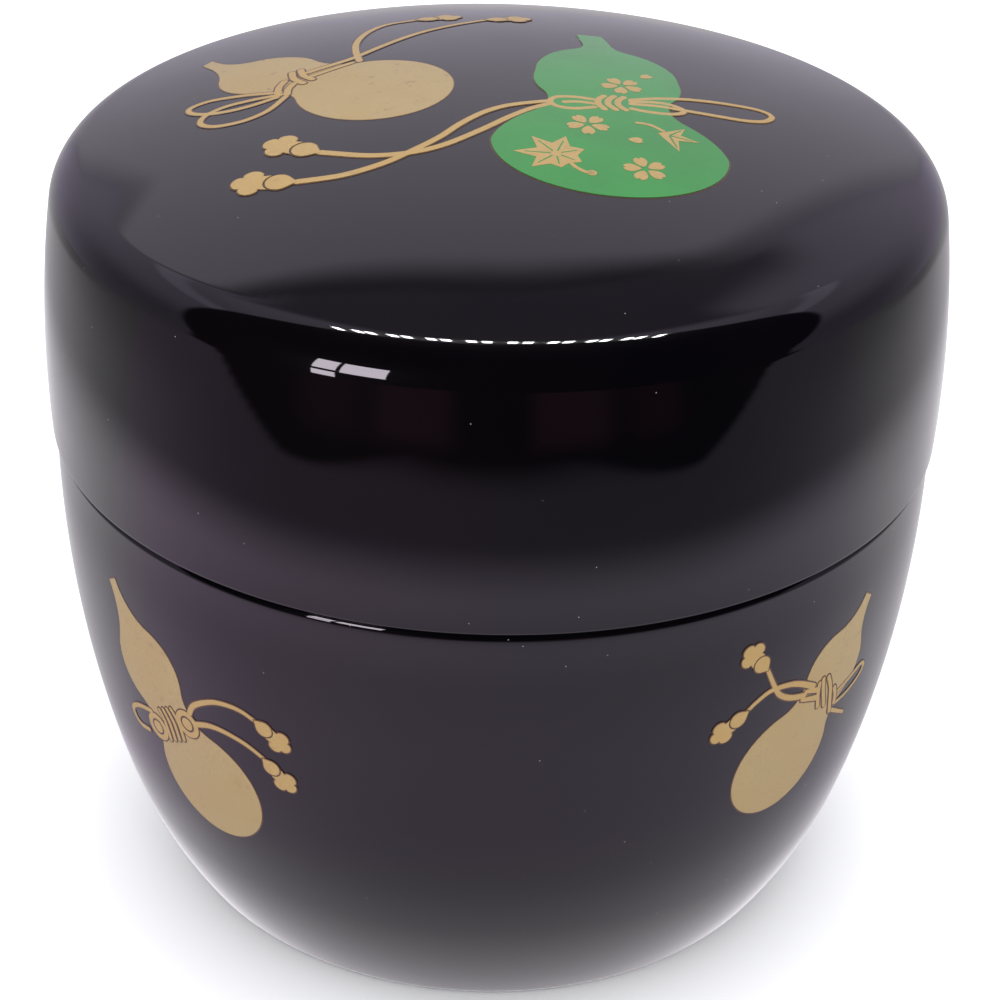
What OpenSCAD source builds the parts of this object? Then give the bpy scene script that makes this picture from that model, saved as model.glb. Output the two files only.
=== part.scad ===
// Lidded lacquered tea caddy (natsume): a turned body with a standing rim, a cap-shaped lid that
// lifts off it, coats of lacquer on both, and gourds with tasselled cords laid on as thin films.
// Millimetres, +Z up. The origin is the centre of the base, on the surface that the caddy stands on.

/* [Overall] */
// Largest radius, at the lid
caddy_r = 33; // [30:0.5:36]
// Height to the crown of the lid
caddy_h = 62; // [60:0.5:66]
// Height of the seam between the body and the lid
seam_z = 37.2; // [35:0.1:39]

/* [Lid] */
// Radius of the lid's domed top
dome_r = 97; // [80:1:120]
// Radius of the rounded shoulder between top and wall
shoulder_r = 3.5; // [2:0.5:5]
// Radius of the bulge of the lid's wall
lid_wall_r = 84; // [60:1:120]
// Height at which the lid is widest
lid_wide_z = 42.2; // [40:0.1:45]
// Thickness of the lid's top
lid_top_t = 2.4; // [1.5:0.1:4]
// Radius of the lid's bore, which slides over the rim
lid_bore_r = 30.88; // [30:0.01:31.2]
// Radius of the rounding between the lid's bore and its ceiling
lid_fillet_r = 4.5; // [2:0.5:6]

/* [Body] */
// How far the lid's edge stands out past the body at the seam
seam_step = 0.3; // [0:0.05:0.6]
// Gap between the lid's edge and the ledge that it rests on
seam_gap = 0.05; // [0:0.01:0.2]
// Radius of the long curve of the body's wall
wall_r = 93; // [70:1:130]
// Height of the centre of that curve
wall_centre_z = 35.2; // [30:0.1:45]
// Radius of the tighter curve above the foot
low_r = 35; // [25:1:45]
// Height at which the two curves of the wall meet
low_join_z = 9.5; // [7:0.5:14]
// Radius of the foot's edge
foot_round = 1; // [0.5:0.1:1.5]
// Thickness of the body's wall
wall_t = 2.6; // [2:0.1:4]
// Thickness of the body's floor
floor_t = 3.2; // [2:0.1:5]
// Radius of the rounding between floor and wall inside
floor_fillet_r = 5; // [3:0.5:8]
// Radius of the shallow hollow under the base
recess_r = 20; // [15:0.5:22]
// Depth of that hollow
recess_d = 0.4; // [0.2:0.1:0.6]

/* [Standing rim] */
// Outer radius of the rim
rim_r = 30.8; // [30:0.01:31]
// Inner radius of the rim and the upper body
inner_r = 29.4; // [28:0.1:29.6]
// Height of the top of the rim
rim_top_z = 46.5; // [43:0.5:49]

/* [Coats] */
// Thickness of the outer lacquer
outer_coat = 0.3; // [0.2:0.05:0.5]
// Thickness of the inner lacquer
inner_coat = 0.2; // [0.1:0.05:0.3]
// Thickness of a gold or green film
film_t = 0.08; // [0.05:0.01:0.15]
// Bare line left round a cord where it crosses a gourd
bare_line = 0.18; // [0.1:0.02:0.3]
// Width of a drawn cord
cord_w = 0.55; // [0.4:0.05:0.8]

/* [Hidden] */
$fn = 180;
// Segments in each long and each short arc of the turned outlines
LONG = 14;
SHORT = 6;
// Edge roundings of the ledge, of the lid's lip and of the rim's top
ledge_round = 0.6;
lip_round = 0.3;
rim_round = 0.4;
// Height that parts the base's coat from the wall's coat
base_split_z = 0.8;
// Side of the squares that cut a coat's section at a height
FAR = 40;
// How far the rim's post reaches down inside the wall
rim_root = 2;
// Depth below the crown, and radius from the axis, from which the drawings are pushed outwards
lid_draw_depth = 8;
body_draw_r = 20;
// Overlap of the two halves of a drawn cord
cord_lap = 0.1;

// ---- plane geometry ----

// Point at radius r and angle a from centre c
function polar(c, r, a) = c + r * [cos(a), sin(a)];

// Points of an arc, both ends included
function arc(c, r, a0, a1, n) = [for (i = [0 : n]) polar(c, r, a0 + (a1 - a0) * i / n)];

// Direction of a vector, in degrees
function heading(v) = atan2(v[1], v[0]);

// Crossing of two circles, the one to the right of the line from c1 to c2
function meet(c1, r1, c2, r2) =
    let (d = norm(c2 - c1), e = (c2 - c1) / d, a = (r1 * r1 - r2 * r2 + d * d) / (2 * d))
    c1 + a * e + sqrt(r1 * r1 - a * a) * [e[1], -e[0]];

// Point at t of the smooth curve between b and c, with neighbours a and d
function spline(a, b, c, d, t) =
    0.5 * (2 * b + (c - a) * t + (2 * a - 5 * b + 4 * c - d) * t * t
           + (3 * b - 3 * c + d - a) * t * t * t);

// Smooth curve through the points of a route, n steps from one to the next
function smooth(route, n = 4) =
    let (last = len(route) - 1)
    [for (i = [0 : last - 1], k = [0 : n - 1])
        spline(route[max(i - 1, 0)], route[i], route[i + 1], route[min(i + 2, last)], k / n),
     route[last]];

// Unit normal to the left of a path at point i
function left_of(path, i) =
    let (d = path[min(i + 1, len(path) - 1)] - path[max(i - 1, 0)])
    [-d[1], d[0]] / norm(d);

// Outline of a line of width w drawn along a path, run out past each end by "over"
function stroke(path, w, over = 0) =
    let (last = len(path) - 1,
         head = unit(path[0] - path[1]) * over,
         tail = unit(path[last] - path[last - 1]) * over,
         run = [for (i = [0 : last]) path[i] + (i == 0 ? head : i == last ? tail : [0, 0])])
    concat([for (i = [0 : last]) run[i] + left_of(path, i) * w / 2],
           [for (i = [last : -1 : 0]) run[i] - left_of(path, i) * w / 2]);

function unit(v) = v / norm(v);

// Mirror image of a list of points in the upright axis, in the opposite order
function mirrored(points) = [for (i = [len(points) - 1 : -1 : 0]) [-points[i][0], points[i][1]]];

// ---- turned outlines: half sections, drawn t inside the finished surface ----

dome_c = [0, caddy_h - dome_r];
lid_wall_c = [caddy_r - lid_wall_r, lid_wide_z];
shoulder_c = meet(dome_c, dome_r - shoulder_r, lid_wall_c, lid_wall_r - shoulder_r);
shoulder_low = heading(shoulder_c - lid_wall_c);
shoulder_high = heading(shoulder_c - dome_c);
lip_a = asin((seam_z + lip_round - lid_wide_z) / (lid_wall_r - lip_round));
lip_c = polar(lid_wall_c, lid_wall_r - lip_round, lip_a);

// Outside of the lid, from the axis down to the lip
function lid_outside(t = 0) = concat(
    [[0, seam_z + max(t, 0)]],
    t > 0 ? [[polar(lip_c, lip_round - t, -90)[0], seam_z + t]]
          : arc(lip_c, lip_round - t, -90, lip_a, SHORT),
    arc(lid_wall_c, lid_wall_r - t, lip_a, shoulder_low, LONG),
    arc(shoulder_c, shoulder_r - t, shoulder_low, shoulder_high, SHORT),
    arc(dome_c, dome_r - t, shoulder_high, 90, LONG));

lid_fillet_c = [lid_bore_r - lid_fillet_r,
    dome_c[1] + sqrt(pow(dome_r - lid_top_t - lid_fillet_r, 2) - pow(lid_bore_r - lid_fillet_r, 2))];

// Hollow of the lid, grown by t
function lid_hollow(t = 0) = concat(
    [[0, seam_z - 1], [lid_bore_r + t, seam_z - 1]],
    arc(lid_fillet_c, lid_fillet_r + t, 0, heading(lid_fillet_c - dome_c), SHORT),
    arc(dome_c, dome_r - lid_top_t + t, heading(lid_fillet_c - dome_c), 90, LONG));

lid_edge_r = lid_wall_c[0] + sqrt(pow(lid_wall_r, 2) - pow(seam_z - lid_wide_z, 2));
ledge_z = seam_z - seam_gap;
wall_c = [lid_edge_r - seam_step - sqrt(pow(wall_r, 2) - pow(ledge_z - wall_centre_z, 2)),
          wall_centre_z];
low_join = asin((low_join_z - wall_centre_z) / wall_r);
low_c = polar(wall_c, wall_r - low_r, low_join);
foot_a = asin((foot_round - low_c[1]) / (low_r - foot_round));
foot_c = polar(low_c, low_r - foot_round, foot_a);
ledge_a = asin((ledge_z - ledge_round - wall_c[1]) / (wall_r - ledge_round));
ledge_c = polar(wall_c, wall_r - ledge_round, ledge_a);

// Outside of the body below the ledge
function body_outside(t = 0) = concat(
    [[0, recess_d + t], [recess_r - recess_d, recess_d + t], [recess_r, t]],
    arc(foot_c, foot_round - t, -90, foot_a, SHORT),
    arc(low_c, low_r - t, foot_a, low_join, LONG),
    arc(wall_c, wall_r - t, low_join, ledge_a, LONG),
    arc(ledge_c, ledge_round - t, ledge_a, 90, SHORT),
    [[0, ledge_z - t]]);

floor_a = asin((floor_t + floor_fillet_r - low_c[1]) / (low_r - wall_t - floor_fillet_r));
floor_c = polar(low_c, low_r - wall_t - floor_fillet_r, floor_a);

// Hollow of the body, grown by t
function body_hollow(t = 0) =
    let (inside_a = -acos((inner_r + t - wall_c[0]) / (wall_r - wall_t + t)))
    concat(
        [[0, floor_t - t]],
        arc(floor_c, floor_fillet_r + t, -90, floor_a, SHORT),
        arc(low_c, low_r - wall_t + t, floor_a, low_join, LONG),
        arc(wall_c, wall_r - wall_t + t, low_join, inside_a, LONG),
        [[inner_r + t, caddy_h], [0, caddy_h]]);

// Standing rim as a solid post, drawn t inside its finished surface
function rim_post(t = 0) = concat(
    [[0, ledge_z - rim_root], [rim_r - t, ledge_z - rim_root]],
    arc([rim_r - rim_round, rim_top_z - rim_round], rim_round - t, 0, 90, SHORT),
    [[0, rim_top_z - t]]);

// ---- body ----

module body_core_section() {
    difference() {
        union() {
            polygon(body_outside(outer_coat));
            polygon(rim_post(inner_coat));
        }
        polygon(body_hollow(inner_coat));
    }
}

module outer_coat_section() {
    difference() {
        polygon(body_outside());
        polygon(body_outside(outer_coat));
        polygon(rim_post());
    }
}

module body_core() {
    color("peru") rotate_extrude() body_core_section();
}

module body_lacquer() {
    color([0.06, 0.05, 0.07]) rotate_extrude() intersection() {
        outer_coat_section();
        translate([0, base_split_z]) square([FAR, caddy_h]);
    }
}

module base_lacquer() {
    color([0.09, 0.08, 0.1]) rotate_extrude() intersection() {
        outer_coat_section();
        square([FAR, base_split_z]);
    }
}

module body_inner_lacquer() {
    color([0.12, 0.03, 0.03]) rotate_extrude() difference() {
        union() {
            polygon(body_hollow(inner_coat));
            polygon(rim_post());
        }
        polygon(body_hollow());
        body_core_section();
        translate([0, rim_top_z]) square([FAR, caddy_h]);
    }
}

// ---- lid ----

module lid_core_section() {
    difference() {
        polygon(lid_outside(outer_coat));
        polygon(lid_hollow(inner_coat));
    }
}

module lid_core() {
    color("peru") rotate_extrude() lid_core_section();
}

module lid_lacquer() {
    color([0.06, 0.05, 0.07]) rotate_extrude() difference() {
        polygon(lid_outside());
        polygon(lid_outside(outer_coat));
        polygon(lid_hollow(inner_coat));
    }
}

module lid_inner_lacquer() {
    color([0.12, 0.03, 0.03]) rotate_extrude() difference() {
        intersection() {
            polygon(lid_hollow(inner_coat));
            translate([0, seam_z]) square([FAR, caddy_h]);
        }
        polygon(lid_hollow());
    }
}

// ---- shapes of the drawings ----

// Outline of a gourd standing on its large lobe, whose centre is the origin.
// low, high: radii of the lobes; gap: distance between their centres; waist, neck: radii of the
// hollow curves above each lobe; tip: half width of the stalk; stalk: its straight length;
// wide: widening of the lobes; lean: how far the stalk's end leans over
function gourd(low, high, gap, waist, neck, tip, stalk, wide = [1, 1], lean = 0) =
    let (waist_c = meet([0, 0], low + waist, [0, gap], high + waist),
         neck_y = gap + sqrt(pow(high + neck, 2) - pow(tip + neck, 2)),
         neck_c = [tip + neck, neck_y],
         side = concat(
            arc([0, 0], low, -90, heading(waist_c), 12),
            arc(waist_c, waist, heading(waist_c) + 180, heading(waist_c - [0, gap]) + 180, 3),
            arc([0, gap], high, heading(waist_c - [0, gap]), heading(neck_c - [0, gap]), 8),
            arc(neck_c, neck, heading(neck_c - [0, gap]) + 180, 180, 4),
            [[tip * 0.9, neck_y + stalk]]),
         outline = concat(side, mirrored([for (i = [1 : len(side) - 1]) side[i]])))
    [for (p = outline)
        let (up = max(p[1] / gap, 0), bend = max(p[1] - gap, 0) / (neck_y + stalk - gap))
        [p[0] * (wide[0] + (wide[1] - wide[0]) * min(up, 1)) + lean * bend * bend, p[1]]];

// Bud of a tassel: a drop with its point at the origin, lying along +X
function bud(length, r) =
    let (a = acos(r / (length - r)))
    concat([[0, 0]], arc([length - r, 0], r, -180 + a, 180 - a, 8));

// Tuft of a tassel: a fan of round lobes, hollowed where the bud sits
function tuft(size) =
    let (step = tuft_spread / tuft_lobes)
    concat(
        [for (k = [0 : tuft_lobes - 1], i = [0 : 5])
            let (reach = tuft_r * (0.7 + 0.3 * pow(sin(180 * i / 5), 0.6)))
            polar([tuft_at * size, 0], reach * size, -tuft_spread / 2 + step * (k + i / 5))],
        arc([(bud_length - bud_r) * size, 0], (bud_r + tuft_gap) * size, 52, -52, 4));

// One heart-shaped petal pointing along +X, from the flower's middle
function petal(r) = [
    [0.16 * r, 0], [0.5 * r, -0.27 * r], [0.82 * r, -0.3 * r], [r, -0.14 * r],
    [0.88 * r, 0], [r, 0.14 * r], [0.82 * r, 0.3 * r], [0.5 * r, 0.27 * r]];

// Star of a maple leaf: lobe lengths at even angles, with notches between them and a heel behind
function maple(lobes, spread, notch, heel) =
    let (step = spread / (len(lobes) - 1))
    concat(
        [[-heel, 0]],
        [for (i = [0 : 2 * len(lobes) - 2])
            polar([0, 0], i % 2 == 0 ? lobes[i / 2] : notch, -spread / 2 + step * i / 2)]);

module place(at, turn) {
    translate(at) rotate(turn) children();
}

// A drawn cord, made in two halves so that a loop's ends may lie close together
module cord(route, w = cord_w) {
    path = smooth(route);
    half = floor(len(path) / 2);
    polygon(stroke([for (i = [0 : half]) path[i]], w, cord_lap));
    polygon(stroke([for (i = [half : len(path) - 1]) path[i]], w, cord_lap));
}

// A tassel at a cord's end, its measures given for size 1
bud_length = 1.76;
bud_r = 0.72;
tuft_at = 2.5;
tuft_r = 1.14;
tuft_lobes = 3;
tuft_spread = 255;
tuft_gap = 0.13;

module tassel(at, turn, size = 1) {
    place(at, turn) {
        polygon(bud(bud_length * size, bud_r * size));
        polygon(tuft(size));
    }
}

// ---- places of the drawings: on the lid in plan, on the body as seen square on ----

// A film on the lid's top: the drawing pushed up through a thin layer over the lacquer
module on_lid(colour, under = 0, over = film_t) {
    color(colour) intersection() {
        translate([0, 0, caddy_h - lid_draw_depth]) linear_extrude(lid_draw_depth + 1) children();
        rotate_extrude() difference() {
            polygon(lid_outside(-over));
            polygon(lid_outside(-under));
        }
    }
}

// A film on the body's wall: the drawing pushed outwards at a bearing round the body
module on_body(colour, bearing) {
    color(colour) rotate(bearing) intersection() {
        translate([0, -body_draw_r, 0]) rotate([90, 0, 0])
            linear_extrude(caddy_r - body_draw_r + 1) children();
        rotate_extrude() difference() {
            polygon(body_outside(-film_t));
            polygon(body_outside());
        }
    }
}

// Gourd on the lid's left: shape, place and turn
lid_gold_shape = gourd(5.6, 3.8, 9.4, 3, 4, 0.6, 1, [1, 1], 2.1);
lid_gold_at = [-9, 0.2];
lid_gold_turn = 58;
lid_gold_wraps = [
    [[-15.6, 3], [-15.9, 1.9], [-15.9, 0.7]],
    [[-14.9, 2.3], [-15.2, 1.3], [-15.2, 0.3]],
    [[-15.2, 4.7], [-14.95, 3.3], [-14.2, 2.2]],
    [[-14.6, 5.1], [-14.3, 3.8], [-13.6, 2.8]]];
lid_gold_bows = [
    [[-15.7, 0.8], [-18.8, 1.3], [-20.8, 1.3], [-22.2, 0], [-20.6, -1.2], [-17.6, -0.9],
     [-15.9, 0]],
    [[-15.6, 0.4], [-17.8, 0.1], [-19.6, -0.4], [-21.1, -2.5], [-19.5, -3.7], [-16.3, -2.2],
     [-15.2, 0.1]]];
lid_gold_cords = [
    [[-10.4, 6], [-10.9, 10.9], [-10.4, 13.6], [-8.4, 16.9], [-6.6, 17.8]],
    [[-13.7, 3.5], [-12.8, 4.2], [-11.8, 5], [-10.9, 5.7]],
    [[-14, 4.4], [-12.1, 5.8], [-10.1, 7.8], [-6.4, 12.8], [-3.8, 15.4], [-1.3, 17.5]]];
lid_gold_tassels = [[[-6.8, 17.7], 18], [[-1.5, 17.4], 14]];
lid_gold_tassel = 1;

// Gourd on the lid's right
lid_green_shape = gourd(6.6, 6.1, 12, 3, 1.8, 1.25, 2.7, [1.23, 0.84], -1.1);
lid_green_at = [7.5, -8.6];
lid_green_wraps = [
    [[7.2, -0.8], [6.8, -1.5], [6.8, -2.3], [7.2, -3.1]],
    [[7.9, -0.7], [7.5, -1.5], [7.5, -2.3], [8, -3]],
    [[8.6, -0.7], [8.2, -1.4], [8.2, -2.2], [8.7, -2.9]]];
lid_green_bows = [
    [[9.1, -1], [13.4, 0.6], [16.3, 1], [19.2, 0.3], [17.9, -1.3], [13, -1.6], [9.1, -1.7]],
    [[9.1, -1.3], [10.8, -0.9], [12.8, -1.6], [11.4, -2.7], [9.1, -2.5]],
    [[6.5, -2.3], [5.4, -2.2], [4.4, -2.4]],
    [[6.5, -1.6], [3.9, -1.6], [3.4, -2.4], [3.9, -3.2], [6.5, -2.9]]];
lid_green_cords = [
    [[3.3, -2.9], [0.6, -5.3], [-1.3, -7.4], [-3.8, -9.6], [-6.2, -10.6], [-8.9, -10.7],
     [-12.1, -9.8]],
    [[3.3, -2.4], [-0.1, -3.8], [-2.8, -6.6], [-4.2, -8.6], [-6.2, -10.6], [-10.5, -13.1],
     [-13.4, -13.4]]];
lid_green_tassels = [[[-12.1, -9.8], 151], [[-13.4, -13.4], 171]];
lid_green_tassel = 1.25;

// Blossoms: middle and turn of each, and of the petals they have shed
blossom_r = 1.5;
blossom_petals = 5;
blossoms = [[[8.5, 1.5], 50], [[6, -5.8], 55], [[9.8, -11.4], 108]];
loose_petals = [[[9.8, 3.4], 48], [[8.5, -7.5], 0]];
maple_leaf = maple([2.1, 2.6, 2.8, 2.9, 2.5, 1.85, 1.95], 308.6, 1.45, 1.45);
maple_at = [3.8, -10.4];
maple_turn = 178;
maple_stalk = [[4.6, -11.2], [5.1, -12], [5.7, -12.5], [6.2, -12.6]];
folded_leaf = maple([2.25, 2.1, 1.8], 124, 0.85, 0.8);
folded_at = [11.6, -6.2];
folded_turn = -12;
folded_stalk = [[9.4, -4.8], [10.3, -4.9], [11.2, -5.6]];
stalk_w = 0.3;

// Gourds on the body. Across, up: from the line of the drawing's bearing, and from the base
left_bearing = -43;
left_shape = gourd(4.75, 3.6, 9.2, 3.2, 5.5, 0.48, 0.05);
left_at = [2.2, 18.45];
left_turn = 32;
left_wraps = [
    [[-2, 23], [-1.5, 22.1], [-1.2, 20.7]],
    [[-1.5, 23.3], [-0.95, 22.4], [-0.65, 21]],
    [[-1, 23.6], [-0.4, 22.7], [-0.1, 21.3]],
    [[-0.5, 23.9], [0.15, 23], [0.45, 21.6]]];
left_rings = [[-2.6, 21.1], [1.15, 23.4]];
ring_r = 0.95;
left_bows = [[[-3.2, 22.2], [-4.9, 21.7], [-6, 20.9], [-5.2, 19.7], [-4.1, 19.9]]];
left_cords = [
    [[1.5, 24.4], [2.2, 25.6], [3.9, 26.7], [5.3, 27.1], [7.7, 26.7]],
    [[2.2, 23.9], [3.5, 24.4], [4.9, 24.5], [6.6, 24.2], [8, 23.5]]];
left_tassels = [[[7.65, 26.75], -35], [[7.95, 23.5], -46]];
left_tassel = 0.86;

right_bearing = 45;
right_shape = gourd(4.6, 3.3, 7.5, 2.6, 4, 0.48, 0.05);
right_at = [-1.7, 21.2];
right_turn = -34;
right_wraps = [
    [[0.8, 27], [0.85, 26], [1.1, 24.8]],
    [[1.5, 27.3], [1.7, 26], [2.1, 24.7]]];
right_bows = [
    [[3.1, 25.4], [4.6, 26.4], [5.7, 27.3], [6.1, 26.6], [5, 25.2], [3.4, 24.5]],
    [[2.8, 24.2], [4, 23], [4.9, 23.4]]];
right_cords = [
    [[0.2, 27.2], [-1.2, 28.2], [-3, 28.6], [-4.6, 28.5], [-6.2, 27.8]],
    [[-0.3, 26.6], [-1.8, 26.9], [-3.2, 27.6], [-4.1, 29], [-4.9, 30.6]]];
right_tassels = [[[-6.2, 27.7], 212], [[-5, 30.7], 130]];
right_tassel = 0.9;

// Lines that cross a gourd, drawn w wide
module lid_gold_lines(w) {
    for (route = concat(lid_gold_bows, lid_gold_wraps, lid_gold_cords)) cord(route, w);
}

module lid_green_lines(w) {
    for (route = concat(lid_green_bows, lid_green_wraps, lid_green_cords)) cord(route, w);
}

module ring_line(at, w) {
    translate(at) difference() {
        circle(ring_r + w / 2, $fn = 40);
        circle(ring_r - w / 2, $fn = 40);
    }
}

module left_lines(w) {
    for (at = left_rings) ring_line(at, w);
    for (route = concat(left_bows, left_wraps, left_cords)) cord(route, w);
}

module right_lines(w) {
    for (route = concat(right_bows, right_wraps, right_cords)) cord(route, w);
}

module tassels(list, size) {
    for (t = list) tassel(t[0], t[1], size);
}

wide_w = cord_w + 2 * bare_line;

module lid_gold_gourd() {
    on_lid("tan") difference() {
        place(lid_gold_at, lid_gold_turn) polygon(lid_gold_shape);
        lid_gold_lines(wide_w);
    }
}

module lid_gold_gourd_cord() {
    on_lid("goldenrod") {
        lid_gold_lines(cord_w);
        tassels(lid_gold_tassels, lid_gold_tassel);
    }
}

module lid_green_gourd() {
    on_lid("mediumseagreen") difference() {
        place(lid_green_at, 0) polygon(lid_green_shape);
        lid_green_lines(wide_w);
    }
}

module lid_green_gourd_cord() {
    on_lid("goldenrod") {
        lid_green_lines(cord_w);
        tassels(lid_green_tassels, lid_green_tassel);
    }
}

module flower(at, turn, petals) {
    place(at, turn) for (i = [0 : petals - 1]) rotate(72 * i) polygon(petal(blossom_r));
}

// Laid over the green film, so one film's thickness higher
module lid_green_gourd_flowers() {
    on_lid("gold", film_t, 2 * film_t) {
        for (b = blossoms) flower(b[0], b[1], blossom_petals);
        for (p = loose_petals) flower(p[0], p[1], 1);
        place(maple_at, maple_turn) polygon(maple_leaf);
        place(folded_at, folded_turn) polygon(folded_leaf);
        cord(maple_stalk, stalk_w);
        cord(folded_stalk, stalk_w);
    }
}

module left_gourd(bearing) {
    on_body("tan", bearing) difference() {
        place(left_at, left_turn) polygon(left_shape);
        left_lines(wide_w);
    }
}

module left_gourd_cord(bearing) {
    on_body("goldenrod", bearing) {
        left_lines(cord_w);
        tassels(left_tassels, left_tassel);
    }
}

module right_gourd(bearing) {
    on_body("tan", bearing) difference() {
        place(right_at, right_turn) polygon(right_shape);
        right_lines(wide_w);
    }
}

module right_gourd_cord(bearing) {
    on_body("goldenrod", bearing) {
        right_lines(cord_w);
        tassels(right_tassels, right_tassel);
    }
}

body_core();
body_lacquer();
body_inner_lacquer();
base_lacquer();
lid_core();
lid_lacquer();
lid_inner_lacquer();
lid_gold_gourd();
lid_gold_gourd_cord();
lid_green_gourd();
lid_green_gourd_cord();
lid_green_gourd_flowers();
left_gourd(left_bearing);  // front_left_gourd
left_gourd_cord(left_bearing);  // front_left_gourd_cord
right_gourd(right_bearing);  // front_right_gourd
right_gourd_cord(right_bearing);  // front_right_gourd_cord
right_gourd(right_bearing + 180);  // back_left_gourd
right_gourd_cord(right_bearing + 180);  // back_left_gourd_cord
left_gourd(left_bearing + 180);  // back_right_gourd
left_gourd_cord(left_bearing + 180);  // back_right_gourd_cord
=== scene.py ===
from math import acos, asin, atan2, cos, degrees, exp, hypot, log, pi, radians, sin, sqrt

import bmesh
import bpy
from bpy.props import FloatProperty, FloatVectorProperty, PointerProperty
from mathutils import Matrix, Vector


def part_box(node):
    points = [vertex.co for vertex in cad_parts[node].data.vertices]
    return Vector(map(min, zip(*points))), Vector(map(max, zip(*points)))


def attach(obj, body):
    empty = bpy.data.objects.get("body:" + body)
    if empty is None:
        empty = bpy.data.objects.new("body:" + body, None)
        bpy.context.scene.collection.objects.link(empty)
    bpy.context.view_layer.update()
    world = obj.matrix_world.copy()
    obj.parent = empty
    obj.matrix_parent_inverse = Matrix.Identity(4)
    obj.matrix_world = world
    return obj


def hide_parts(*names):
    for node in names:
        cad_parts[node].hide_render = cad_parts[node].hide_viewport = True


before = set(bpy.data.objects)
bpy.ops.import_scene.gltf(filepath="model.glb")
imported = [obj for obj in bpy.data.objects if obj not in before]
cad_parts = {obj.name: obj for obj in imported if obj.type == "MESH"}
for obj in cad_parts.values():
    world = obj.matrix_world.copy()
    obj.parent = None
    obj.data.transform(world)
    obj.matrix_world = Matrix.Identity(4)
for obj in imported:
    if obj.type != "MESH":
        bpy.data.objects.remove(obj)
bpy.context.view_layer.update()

bl_info = {
    "name": "Lacquered tea caddy",
    "version": (1, 0, 0),
    "blender": (4, 5, 0),
    "location": "View3D > Sidebar > Tea caddy",
    "description": "Lacquer shells, wood cores and gold gourds of a lidded tea caddy",
    "category": "Object",
}

# Lengths are worked in millimetres and turned into metres as a mesh is made.
MM = 0.001


def in_mm(node):
    """Lowest and highest corner of a CAD node, in millimetres."""
    low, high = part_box(node)
    return low / MM, high / MM


# ---- sizes and finishes that a user may change ----


def length(label, what, default):
    """A length in metres, as a property."""
    return FloatProperty(
        name=label, description=what, default=default, min=0, unit="LENGTH", precision=5
    )


def colour(label, what, default):
    """A colour, as a property."""
    return FloatVectorProperty(
        name=label, description=what, default=default, size=3, min=0, max=1, subtype="COLOR"
    )


def share(label, what, default):
    """A number from 0 to 1, as a property."""
    return FloatProperty(name=label, description=what, default=default, min=0, max=1)


class CaddyShape(bpy.types.PropertyGroup):
    """Curves of the turned outlines and thicknesses of the coats and films."""

    dome_r: length("Dome radius", "Radius of the lid's domed top", 97 * MM)
    shoulder_r: length("Shoulder radius", "Radius of the lid's rounded shoulder", 3.5 * MM)
    lid_wall_r: length("Lid wall radius", "Radius of the bulge of the lid's wall", 84 * MM)
    lid_wide_z: length("Widest height", "Height at which the lid is widest", 42.2 * MM)
    lid_top_t: length("Lid top", "Thickness of the lid's top", 2.4 * MM)
    lid_bore_r: length("Lid bore", "Radius of the lid's bore", 30.88 * MM)
    lid_fillet_r: length("Lid fillet", "Rounding between bore and ceiling", 4.5 * MM)
    seam_step: length("Seam step", "How far the lid's edge stands out past the body", 0.3 * MM)
    wall_r: length("Wall radius", "Radius of the long curve of the body's wall", 93 * MM)
    wall_centre_z: length("Wall centre", "Height of the centre of that curve", 35.2 * MM)
    low_r: length("Low radius", "Radius of the tighter curve above the foot", 35 * MM)
    low_join_z: length("Low join", "Height at which the wall's two curves meet", 9.5 * MM)
    foot_round: length("Foot rounding", "Radius of the foot's edge", 1 * MM)
    wall_t: length("Wall", "Thickness of the body's wall", 2.6 * MM)
    floor_t: length("Floor", "Thickness of the body's floor", 3.2 * MM)
    floor_fillet_r: length("Floor fillet", "Rounding between floor and wall", 5 * MM)
    recess_r: length("Recess radius", "Radius of the hollow under the base", 20 * MM)
    recess_d: length("Recess depth", "Depth of the hollow under the base", 0.4 * MM)
    rim_r: length("Rim radius", "Outer radius of the standing rim", 30.8 * MM)
    inner_r: length("Inner radius", "Inner radius of the standing rim", 29.4 * MM)
    outer_coat: length("Outer coat", "Thickness of the outer lacquer", 0.3 * MM)
    inner_coat: length("Inner coat", "Thickness of the inner lacquer", 0.2 * MM)
    margin: length("Drawn margin", "Brown drawing lacquer left showing round the gold", 0.11 * MM)


class CaddyFinish(bpy.types.PropertyGroup):
    """Colours and gloss of the lacquer, the gold and the green."""

    lacquer: colour("Lacquer", "Body colour of the black lacquer", (0.0006, 0.0004, 0.0012))
    lacquer_warm: colour("Lacquer, warm", "Tone that the lacquer drifts to", (0.0014, 0.0007, 0.0014))
    gloss: share("Gloss roughness", "Roughness of the polished surface", 0.028)
    lining: colour("Lining", "Colour of the lacquer inside", (0.0045, 0.0028, 0.0035))
    gold: colour("Gold powder", "Colour of the gourds' gold", (0.355, 0.263, 0.120))
    gold_line: colour("Gold line", "Colour of the cords' gold", (0.395, 0.27, 0.10))
    drawing: colour("Drawing lacquer", "Brown lacquer under the gold", (0.055, 0.022, 0.009))
    green: colour("Green", "Colour of the green gourd", (0.010, 0.175, 0.020))
    wood: colour("Wood", "Colour of the turned wood", (0.46, 0.30, 0.16))


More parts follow.
